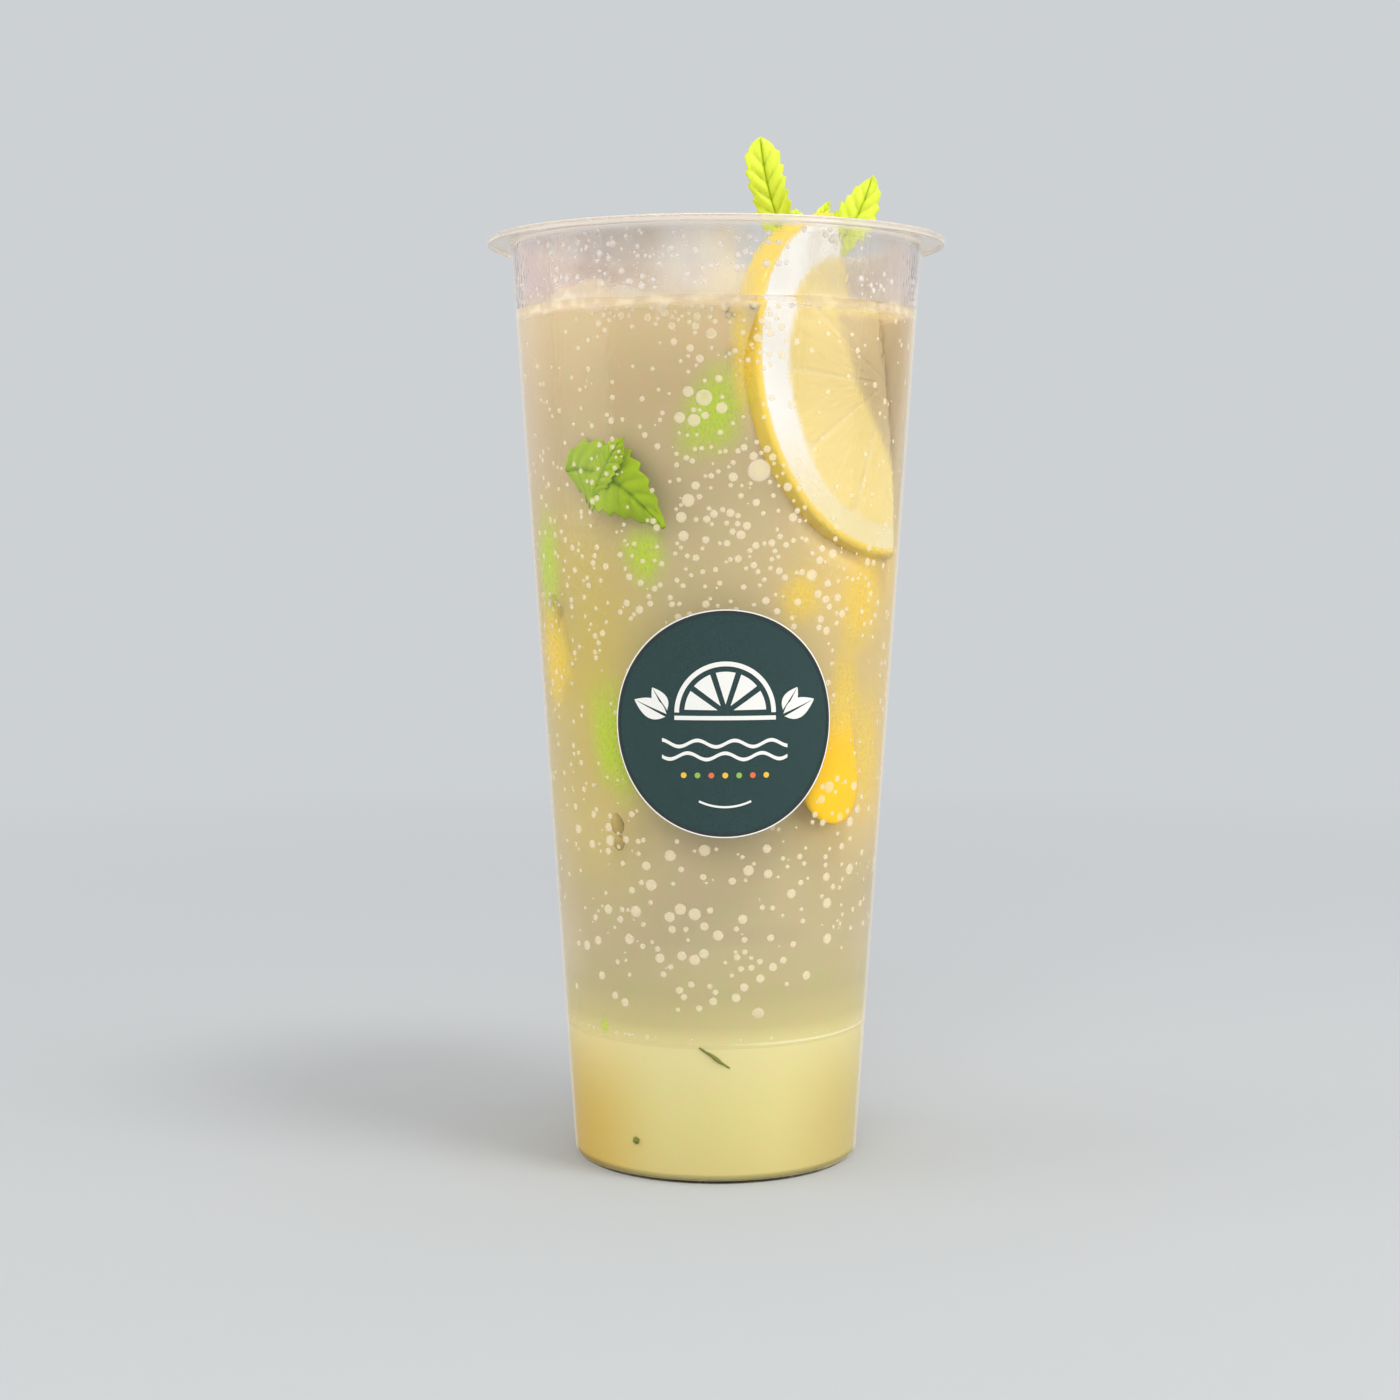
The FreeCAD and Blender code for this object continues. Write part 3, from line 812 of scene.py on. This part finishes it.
stem_width, stem_steps, stem_sides = 1.15 * MM, 14, 12
stem_material = leaf_material("mint stem", "9DB544", "B9C85C", "6E7F2B", "8AA03A", 9)
stem_foot = Vector((sprig_low.x + 1.8 * MM, 0.5 * MM, sprig_low.z + 1.4 * MM))
path = [crown.lerp(stem_foot, step / stem_steps)
        + right * (2.0 * MM * sin(pi * step / stem_steps)) for step in range(stem_steps + 1)]
points = []
for number, place in enumerate(path):
    ahead, behind = path[min(number + 1, stem_steps)], path[max(number - 1, 0)]
    along = (ahead - behind).normalized()
    side = along.cross(Vector((0.3, 1, 0.1))).normalized()
    top = side.cross(along)
    knot = 1.12 if number % 5 == 2 else 1.0
    points += [place + (side * x + top * y) * (stem_width * knot) for x, y in circle(stem_sides)]
faces = row_faces(0, stem_steps, stem_sides) + end_faces(0, stem_steps, stem_sides)
add_piece("mint_stem", points, faces, stem_material, "mint")


# -------------------- sunk mint
# Torn mint leaves under the surface: one flat against the front wall, the others deeper, so
# that only a soft green shows. They drift in the soda.

haze_rings, haze_spokes = 14, 40


def flat_leaf(foot, knee, tip, half_width, seed):
    """A leaf that lies along the wall; its places are degrees, height and depth in mm."""
    places = [on_wall(degrees, z * MM, depth * MM) for degrees, z, depth in (foot, knee, tip)]
    outward = Vector((places[1].x, places[1].y, 0))
    return dict(foot=places[0], knee=places[1], tip=places[2], facing=outward,
                half_width=half_width, fold=-0.10, teeth=9, seed=seed)


def add_haze(name, patches, material, slot):
    """Soft patches just off the cloud's skin, dense in the middle and clear at the edge."""
    points, faces, cover = [], [], []
    for degrees, z, deep, wide, tall, lean in patches:
        z, wide, tall, turn = z * MM, wide * MM, tall * MM, radians(lean)
        faces += row_faces(len(points), haze_rings, haze_spokes)
        for i in range(haze_rings + 1):
            share = i / haze_rings
            for x, y in circle(haze_spokes):
                ragged = 1 + 0.28 * noise(Vector((x, y, z * 40)) * 1.4)
                a, b = wide * share * ragged * x, tall * share * ragged * y
                a, b = a * cos(turn) - b * sin(turn), a * sin(turn) + b * cos(turn)
                around = degrees + math.degrees(a / wall_radius(z))
                depth = deep * (wall_radius(z + b) - cloud_radius(z + b))
                points.append(on_wall(around, z + b, depth))
                cover.append(1 - ease(share, 0.15, 1.0))
    add_piece(name, points, faces, material, slot, closed=False, cover=cover)


def haze_material(name, tone, strength):
    material = new_material(name)
    clouds = rise(noise_in(130.0), 0.25, 0.6, 0.55, 1.0)
    cover = times(measured("cover"), strength, clouds)
    finish(let_light_in(stuff(tone, 0.8, 0.0, Alpha=cover)))
    return material


sunk_leaf_material = leaf_material("mint at the wall", "AECF00", "DCF22C", "6E9C00", "8AB400",
                                   120, 0.08)
by_the_wall = [
    flat_leaf((-52, 136.5, 2.6), (-34, 138.5, 0.8), (-16, 125.8, 1.4), 6.6, 1.0),
    flat_leaf((-40, 132.0, 1.6), (-33, 139.0, 0.6), (-28.0, 142.5, 1.2), 2.6, 2.5),
]
add_leaves("mint_at_wall", by_the_wall, sunk_leaf_material)

# place round the cup, height, share of the cloud's depth, half width, half height, lean
green_haze = [
    (-1, 147.0, 0.6, 9.0, 12, -28), (-24, 121, 0.65, 7.0, 8, 10), (-37, 85, 0.35, 9.5, 16, 8),
    (-67, 119, 0.3, 7.5, 15, 0), (-46, 29.6, 0.4, 1.5, 2.2, 0), (150, 128, 0.7, 9, 12, 20),
    (-140, 92, 0.7, 8, 15, -15),
]
yellow_haze = [
    (-65, 101, 0.25, 11, 14, 0), (30, 113, 0.85, 8, 7, 0), (-64, 101, 0.15, 8, 11, 0),
    (58, 112, 0.7, 10, 13, -10), (48, 93, 0.3, 7, 13, 0), (62, 82, 0.3, 10, 17, 0),
    (7.5, 157, 0.55, 3.6, 13, 4), (170, 80, 0.6, 9, 12, 0),
]
add_haze("deep_mint", green_haze, haze_material("deep mint", "B2D01E", 0.85), "mint")
add_haze("deep_lemon", yellow_haze, haze_material("deep lemon", "EBC838", 0.66), "lemon")


# -------------------- bits in the drink
# A brown end of stem beside the label, and slivers and specks of mint in the settled juice. They
# were torn off when the mint was bruised, and have sunk.

bit_rows, bit_sides = 8, 8


def add_bits(name, bits, material):
    """Small rods, swollen and uneven. Each has its ends as degrees, height and depth, and a width."""
    points, faces = [], []
    for start, end, thick in bits:
        ends = [on_wall(degrees, z * MM, depth * MM) for degrees, z, depth in (start, end)]
        along = (ends[1] - ends[0]).normalized()
        side = along.cross(ends[0]).normalized()
        top = side.cross(along)
        first = len(points)
        faces += row_faces(first, bit_rows, bit_sides) + end_faces(first, bit_rows, bit_sides)
        for i in range(bit_rows + 1):
            run = i / bit_rows
            radius = thick * MM * (sin(pi * (0.06 + 0.88 * run)) ** 0.6)
            radius *= 1 + 0.3 * noise(ends[0] * 900 + Vector((run * 3, 0, 0)))
            middle = ends[0].lerp(ends[1], run)
            points += [middle + (side * x + top * y * 0.7) * radius for x, y in circle(bit_sides)]
    add_piece(name, points, faces, material, "mint")


stem_end_material = leaf_material("end of stem", "D2B868", "DCC678", "B4A25A", "C0AC60", 3, 0.05)
stem_end = [
    ((-37.4, 71.6, 1.6), (-35.6, 67.6, 1.4), 1.25),
    ((-36.4, 67.4, 1.5), (-35.8, 64.4, 1.6), 1.35),
]
add_bits("stem_end", stem_end, stem_end_material)
sliver_material = leaf_material("mint slivers", "8A8C40", "A0A250", "6C7230", "929644", 4, 0.05)
slivers = [
    ((-6.0, 27.1, 0.25), (5.3, 23.1, 0.4), 0.36), ((-3.0, 26.2, 0.3), (3.4, 23.7, 0.3), 0.42),
    ((-33.6, 8.3, 0.25), (-32.2, 7.1, 0.25), 0.75),
    ((120, 20, 0.25), (127, 18, 0.25), 0.35), ((-150, 12, 0.25), (-153, 12.8, 0.25), 0.5),
]
add_bits("mint_bits", slivers, sliver_material)


# -------------------- ice
# Two cubes of clear ice, rounded by melting, afloat against the wall. Under water they all but
# vanish, because ice bends light as water does; the tops stand out wet.

def ice_material(name, bend, share, tint):
    material = new_material(name)
    ice = stuff(tint, 0.06, IOR=bend, Transmission_Weight=share,
                Normal=bumps(noise_in(160.0), 0.25, 0.5))
    finish(let_light_in(ice))
    return material


wet_ice = ice_material("ice above the soda", 1.31, 0.6, "EADFC6")
sunk_ice = ice_material("ice under the soda", 1.0, 1.0, colourless)
for number in (1, 2):
    cube = add_object(f"ice_{number}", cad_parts[f"ice_cube_{number}"].data.copy())
    melted = cube.modifiers.new("melted", "REMESH")
    melted.mode, melted.voxel_size, melted.use_smooth_shade = "VOXEL", 0.8 * MM, True
    mesh = bpy.data.meshes.new_from_object(cube.evaluated_get(bpy.context.evaluated_depsgraph_get()))
    cube.modifiers.clear()
    cube.data = mesh
    for vertex in mesh.vertices:
        vertex.co += vertex.normal * (noise(vertex.co * 130) * 0.5 * MM - 0.1 * MM)
    mesh.materials.clear()
    mesh.materials.append(wet_ice)
    mesh.materials.append(sunk_ice)
    for face in mesh.polygons:
        face.material_index = int(face.center.z < level - 0.1 * MM)
    mesh.shade_smooth()
    seat(cube, [f"ice_cube_{number}"])


# -------------------- bubbles
# Gas comes out of the soda as small round bubbles that cling to the inside of the wall, gather
# under the surface and edge the lemon. A few lie along the stacking ledge.

draw = random.Random(20)
grid = 3.2 * MM                  # bubbles are sorted into boxes of this size, to find neighbours
bubbles, taken = [], {}


def ball(steps):
    """Unit ball as points and faces, for small round things."""
    shell = bmesh.new()
    bmesh.ops.create_icosphere(shell, subdivisions=steps, radius=1.0)
    points = [v.co.copy() for v in shell.verts]
    faces = [tuple(v.index for v in f.verts) for f in shell.faces]
    shell.free()
    return points, faces


tiny_ball, small_ball, large_ball = ball(1), ball(2), ball(3)


def add_balls(name, places, material, slot, flat=1.0):
    """Many small balls as one piece. Each place is a middle, a radius and the way to the wall."""
    points, faces, rims = [], [], []
    for middle, radius, outward in places:
        shape = tiny_ball if radius < 0.3 * MM else small_ball if radius < 0.8 * MM else large_ball
        faces += [tuple(len(points) + corner for corner in face) for face in shape[1]]
        for p in shape[0]:
            out = p.dot(outward)
            points.append(middle + (p - outward * (out * (1 - flat))) * radius)
            rims.append(1 - out * out)
    add_piece(name, points, faces, material, slot, closed=False, rim=rims)


def bubble_material(name, evened):
    """A milky film of gas. Light scatters in it, so its shading is evened out towards the wall's."""
    material = new_material(name)
    rim = measured("rim")
    # painted highlight: the film is paler towards its rim, standing in for the bright ring that a
    # bubble's edge reflects
    tone = blend(rise(rim, 0.0, 0.8), "EBDBB4", "F3E5C6")
    cover = times(rise(rim, 0.0, 0.6, 0.50, 0.44), rise(rim, 1.0, 0.62))

    def vector(operation, first, **more):
        return put("VectorMath", operation=operation, Vector=first, **more)

    outwards = vector("NORMALIZE", vector("MULTIPLY", where(), Vector_001=(1, 1, 0)))
    own_way = put("NewGeometry").outputs["Normal"]
    both = vector("ADD", vector("SCALE", outwards, Scale=evened), Vector_001=own_way)
    film = stuff(tone, 0.6, 0.1, Alpha=cover, Normal=vector("NORMALIZE", both))
    finish(let_light_in(film))
    return material


def try_bubble(degrees, z, radius):
    """Adds a bubble against the wall unless it would touch another one. Sizes are in mm."""
    radius = radius * MM
    middle = on_wall(degrees, z * MM, radius * 0.55 + 0.05 * MM)
    cell = tuple(int(c // grid) for c in middle)
    for i, j, k in product((-1, 0, 1), repeat=3):
        for other, size in taken.get((cell[0] + i, cell[1] + j, cell[2] + k), ()):
            if (middle - other).length < 0.95 * (radius + size):
                return
    taken.setdefault(cell, []).append((middle, radius))
    bubbles.append((middle, radius, out_from_axis(middle)))


big_bubbles = [
    (12.8, 136.4, 2.3), (-3.4, 149.6, 1.7), (-6.2, 145.5, 1.3), (-1.2, 147.6, 1.4),
    (-8.1, 130.9, 1.3), (38, 121, 1.0), (30.5, 117, 1.2), (-3.8, 65.3, 1.2), (170, 96, 1.5),
]
# clusters as degrees, height, spread in degrees, spread in height, count, largest radius
clusters = [
    (-4, 148, 4, 3.0, 18, 1.25), (-8, 131, 5, 4.0, 18, 1.1), (12, 137, 6, 5.0, 20, 1.0),
    (-20, 118, 20, 6.0, 60, 0.8), (14, 122, 18, 6.0, 50, 0.85), (35, 108, 12, 8.0, 34, 0.9),
    (-30, 56, 20, 7.0, 34, 1.25), (22, 60, 22, 7.0, 34, 1.3), (-12, 46, 24, 5.0, 30, 1.3),
    (22, 43, 16, 5.0, 24, 1.35), (-14, 37, 20, 2.5, 14, 1.1), (-55, 110, 12, 20, 80, 0.7),
    (-36, 68, 14, 6, 26, 1.1), (6, 114, 20, 3, 30, 0.9), (40, 66, 12, 8, 30, 1.2),
    (-25, 142, 22, 14, 60, 0.6), (10, 160, 16, 4, 30, 0.9), (8, 128, 14, 12, 40, 0.8),
    (-6, 164.5, 6, 1.8, 60, 1.3), (-30, 165.5, 9, 0.8, 30, 0.9), (13, 164.5, 3, 1.4, 20, 1.2),
    (150, 120, 40, 30, 110, 0.9), (-150, 90, 40, 30, 110, 0.9), (95, 100, 30, 30, 80, 0.9),
]
lowest_bubble, highest_bubble, ledge_height, smallest = 32, 166.2, 28.6, 0.40
stray_count, ledge_count, froth_count = 1150, 60, 520
for bubble in big_bubbles:
    try_bubble(*bubble)
for degrees, z, spread, tall, count, largest in clusters:
    for _ in range(count):
        radius = smallest + (largest - smallest) * draw.random() ** 1.3
        height = min(max(draw.gauss(z, tall), lowest_bubble), highest_bubble)
        try_bubble(draw.gauss(degrees, spread), height, radius)
for _ in range(stray_count):
    radius = 0.26 + 0.5 * draw.random() ** 2
    height = 42 + 124 * draw.random() ** 0.9
    try_bubble(draw.uniform(-180, 180), height, radius)
for _ in range(ledge_count):
    try_bubble(draw.uniform(-180, 180), ledge_height, draw.uniform(0.2, 0.5))
add_balls("wall_bubbles", bubbles, bubble_material("gas bubble", 2.0), "cloudy_soda", 0.45)

froth, froth_radius = [], 35 * MM
for _ in range(froth_count):
    around, radius = draw.uniform(-pi, pi), froth_radius * sqrt(draw.random())
    x, y = radius * cos(around), radius * sin(around)
    if noise(Vector((x, y, 0)) * 70) > 0.0:
        size = (0.2 + 0.9 * draw.random() ** 2.4) * MM
        froth.append((Vector((x, y, soda_surface(x, y) + 0.2 * size)), size, up))
add_balls("froth", froth, bubble_material("froth", 0.0), "cloudy_soda", 0.8)


# -------------------- mist and drops in the cup's top
# The cold drink has fogged the inside of the wall above it: a thin milky film with clear runs
# where drops have slid down, and round beads of water.

fog_width = 76 * MM              # of the fog as seen from the front
film_rows = range(492, 544)      # in thirds of a millimetre above the table
drop_count, drops_low, drops_high = 1500, 168.6, 180.4


def round_degrees(place):
    return math.degrees(atan2(place.x, -place.y))


def cream_share(place):
    """A creamy edge of froth on the wall just over the soda, highest at the left over the ice."""
    degrees = round_degrees(place)
    mound = ease(degrees, -56, -47) * (1 - ease(degrees, -34, -25))
    top = level + (0.8 + 3.1 * mound + 1.4 * noise(place * 190)) * MM
    middle = ease(degrees, -26, -18) * (1 - ease(degrees, 0, 6))
    hang = 9 * MM * middle * max(noise(Vector((degrees * 0.16, 0.4, 7.7))), 0)
    low = level - 0.6 * MM - hang + 0.8 * MM * noise(place * 330)
    return (1 - ease(place.z, top - 0.5 * MM, top + 0.5 * MM)) * ease(place.z, low - 1.4 * MM, low)


def fog_thickness(place):
    """The fog is thin where the lemon or the ice touches the wall, and ends ragged at the soda."""
    degrees = round_degrees(place)
    lemon_side = ease(degrees, 2, 12) * (1 - 0.45 * ease(degrees, 22, 28)) * (1 - ease(degrees, 46, 56))
    ice_side = ease(degrees, -56, -48) * (1 - ease(degrees, -24, -14))
    low = 1 - ease(place.z, level + 2.5 * MM, level + 6.5 * MM)
    ragged = place.z + noise(place * 150) * 1.8 * MM
    cover = 0.88 - 0.66 * lemon_side - 0.66 * ice_side * low
    cover *= ease(ragged, level - 2.4 * MM, level + 2.0 * MM)
    cover = max(cover, 0.8 * cream_share(place) * (1 - 0.8 * lemon_side))
    return cover * (1 - 0.5 * ease(place.z, 179.4 * MM, 181.2 * MM))


mist_material = new_material("fog on the wall")
place = where()
stretched = put("Mapping", Vector=place, Scale=(1.0, 1.0, 0.3))
runs = rise(noise_in(330.0, Vector=stretched), 0.35, 0.6, 0.80, 1.0)
# painted light and shade: the fog's tone is set across the cup's width as seen from the front, paler at
# both edges and in the middle, darker between
share = calc("MULTIPLY_ADD", axes()["X"], 1 / fog_width, 0.5)
tone = colours_along(
    share, (0.0, "ECD4D0"), (0.06, "D6C4BE"), (0.17, "C2B0A5"), (0.33, "C9BAAB"),
    (0.43, "ECE2D4"), (0.54, "F0E2C2"), (0.62, "C9B896"), (0.84, "B9AC98"), (1.0, "D8C8C6"))
broad = rise(noise_in(70.0, 3.0, Vector=place), 0.35, 0.65)
tone = blend(1.0, tone, blend(broad, "EDE9EA", "FFFFFA"), "MULTIPLY")
near_soda = rise(axes()["Z"], level + 4 * MM, level - MM, 0.0, 0.85)
tone = blend(near_soda, tone, "D8C6A2")
lumps = rise(noise_in(280.0, Vector=place), 0.45, 0.62)
cream = blend(lumps, "DCC8AA", "F2E4C6")
tone = blend(measured("cream"), tone, cream)
fog = stuff(tone, 0.6, 0.1, Alpha=times(measured("cover"), runs))
finish(let_light_in(fog))

film = [(wall_radius(z / 3 * MM) - 0.06 * MM, z / 3 * MM) for z in film_rows]
points, faces = turned(film, 360)
fog_film = add_piece("fog_film", points, faces, mist_material, "clear_plastic")
measure(fog_film, "cover", fog_thickness)
measure(fog_film, "cream", cream_share)

drop_material = new_material("water drop")
drop_cover = rise(measured("rim"), 0.0, 1.0, 0.75, 0.25)
# painted glint: the clear water drops are given a pale colour that stands in for the light they catch
drop = stuff("E9DFD6", 0.08, IOR=1.33, Alpha=drop_cover, Coat_Weight=0.5)
finish(let_light_in(drop))
drops = []
for _ in range(drop_count):
    around, z = draw.uniform(-180, 180), draw.uniform(drops_low, drops_high)
    turn = radians(around)
    crowd = noise(Vector((sin(turn) * 3.2, cos(turn) * 3.2, z * 0.15)))
    if crowd < 0.0 and not (-46 < around < 6 and draw.random() < 0.6):
        continue
    size = (0.16 + 0.62 * draw.random() ** 2.4) * MM
    middle = on_wall(around, z * MM, -0.05 * MM)
    drops.append((middle, size, out_from_axis(middle)))
add_balls("wall_drops", drops, drop_material, "clear_plastic", 0.35)


# -------------------- label
# A round sticker of matt slate-green paper, pressed on the front of the wall. Its art is printed
# in white: half a citrus wheel between mint leaves, over two waves and a row of coloured dots.

label_low, label_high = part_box("label")
label_middle = (label_low.z + label_high.z) / 2
label_turn = radians(3)
wall_thickness = 0.7 * MM
paper_lift, ink_lift = 0.32 * MM, 0.06 * MM      # glue and paper, and the ink on them

paper = new_material("printed paper")
grain = noise_in(1300.0, 3.0, Roughness=0.7)
slate = blend(rise(grain, 0.40, 0.62), "0B1B20", "3C5A58")
blots = rise(noise_in(240.0), 0.45, 0.75, 0.0, 0.35)
slate = blend(blots, slate, "526A69")
finish(stuff(slate, 0.62, 0.25, Normal=bumps(grain, 0.25, 0.1)))
coat("label", paper)

print_points, print_faces, print_inks = [], [], []
white, yellow, green, orange, black = range(5)
inks = []
for name, colour in (("white ink", "F4F4F0"), ("yellow ink", "F2C53D"), ("green ink", "8FBF4A"),
                     ("orange ink", "E5703A"), ("black ink", "141C1E")):
    ink = new_material(name)
    wear = rise(noise_in(900.0), 0.4, 0.75, 0.0, 0.22)
    finish(stuff(blend(wear, colour, "8A9498"), 0.5))
    inks.append(ink)


def on_label(u, v):
    """A place on the sticker, u to the right and v up from its middle, in millimetres."""
    z = label_middle + v * MM
    radius = wall_radius(z) + wall_thickness + paper_lift + ink_lift
    angle = label_turn + u * MM / radius
    return Vector((radius * sin(angle), -radius * cos(angle), z))


def print_strip(left_edge, right_edge, ink=white):
    """Prints the band between two rows of (u, v) places, in steps fine enough for the curve."""
    wide = max(math.dist(a, b) for a, b in zip(left_edge, right_edge))
    parts = max(1, ceil(wide))
    strip = row_faces(len(print_points), len(left_edge) - 1, parts + 1, closed=False)
    print_faces.extend(strip)
    print_inks.extend([ink] * len(strip))
    for a, b in zip(left_edge, right_edge):
        for part in range(parts + 1):
            run = part / parts
            print_points.append(on_label(a[0] + (b[0] - a[0]) * run, a[1] + (b[1] - a[1]) * run))


def print_arc(u, v, inner, outer, start, end, ink=white, steps=48):
    angles = [radians(start + (end - start) * s / steps) for s in range(steps + 1)]
    print_strip(*[[(u + r * cos(a), v + r * sin(a)) for a in angles] for r in (inner, outer)], ink)


def print_leaf(u, v, way, length, width):
    """A pointed leaf with a bare rib, as two slim halves."""
    turn = radians(way)
    for side in (-1, 1):
        rib, margin = [], []
        for step in range(25):
            run = step / 24
            bare = 0.28 * (1 - run)
            swell = max(width * sin(pi * run ** 0.8) ** 0.9, bare)
            for edge, off in ((rib, bare), (margin, swell)):
                a, b = run * length, side * off
                edge.append((u + a * cos(turn) - b * sin(turn), v + a * sin(turn) + b * cos(turn)))
        print_strip(rib, margin)


wheel_v, wheel_radius, segments, gap = 2.2, 9.6, 5, 0.55
print_arc(0, wheel_v, wheel_radius - 0.9, wheel_radius, 0, 180)
bar = [wheel_radius * (step / 12 - 1) for step in range(25)]
print_strip([(u, wheel_v - 1.4) for u in bar], [(u, wheel_v - 0.6) for u in bar])
for number in range(segments):
    # each segment keeps the same gap from its neighbours, from a point near the core outwards
    from_angle, to_angle = 36 * number, 36 * (number + 1)
    inner, outer = [], []
    for step in range(25):
        run = step / 24
        for edge, radius in ((inner, 1.6), (outer, wheel_radius - 1.9)):
            trim = math.degrees(math.asin(min(gap / radius, 0.3)))
            a = radians(from_angle + trim + (to_angle - from_angle - 2 * trim) * run)
            edge.append((radius * cos(a), wheel_v + radius * sin(a)))
    print_strip(inner, outer)
for side, way in ((-1, 180), (1, 0)):
    print_leaf(side * 11.2, wheel_v - 0.6, way - side * -24, 7.0, 1.9)
    print_leaf(side * 11.2, wheel_v + 0.2, way + side * 58, 5.2, 1.5)
for number, v in enumerate((-3.6, -6.0)):
    wave = [(u / 4, v + 0.6 * sin(u / 4 * 0.9 + number * 1.6)) for u in range(-48, 49)]
    print_strip([(u, y - 0.34) for u, y in wave], [(u, y + 0.34) for u, y in wave])
for number in range(7):
    print_arc(2.6 * (number - 3), -9.6, 0.0, 0.55, 0, 360, (yellow, green, orange)[number % 3], 16)
print_arc(0, -4.0, 11.4, 11.8, -115, -65)
print_arc(0, 0, 20.7, 21.2, 0, 360, black, 160)
print_arc(0, 0, 21.25, 21.48, 0, 360, white, 160)

art = add_mesh("label_print", print_points, print_faces, *inks)
art.data.polygons.foreach_set("material_index", print_inks)
weld(art.data, closed=False)
seat(art)
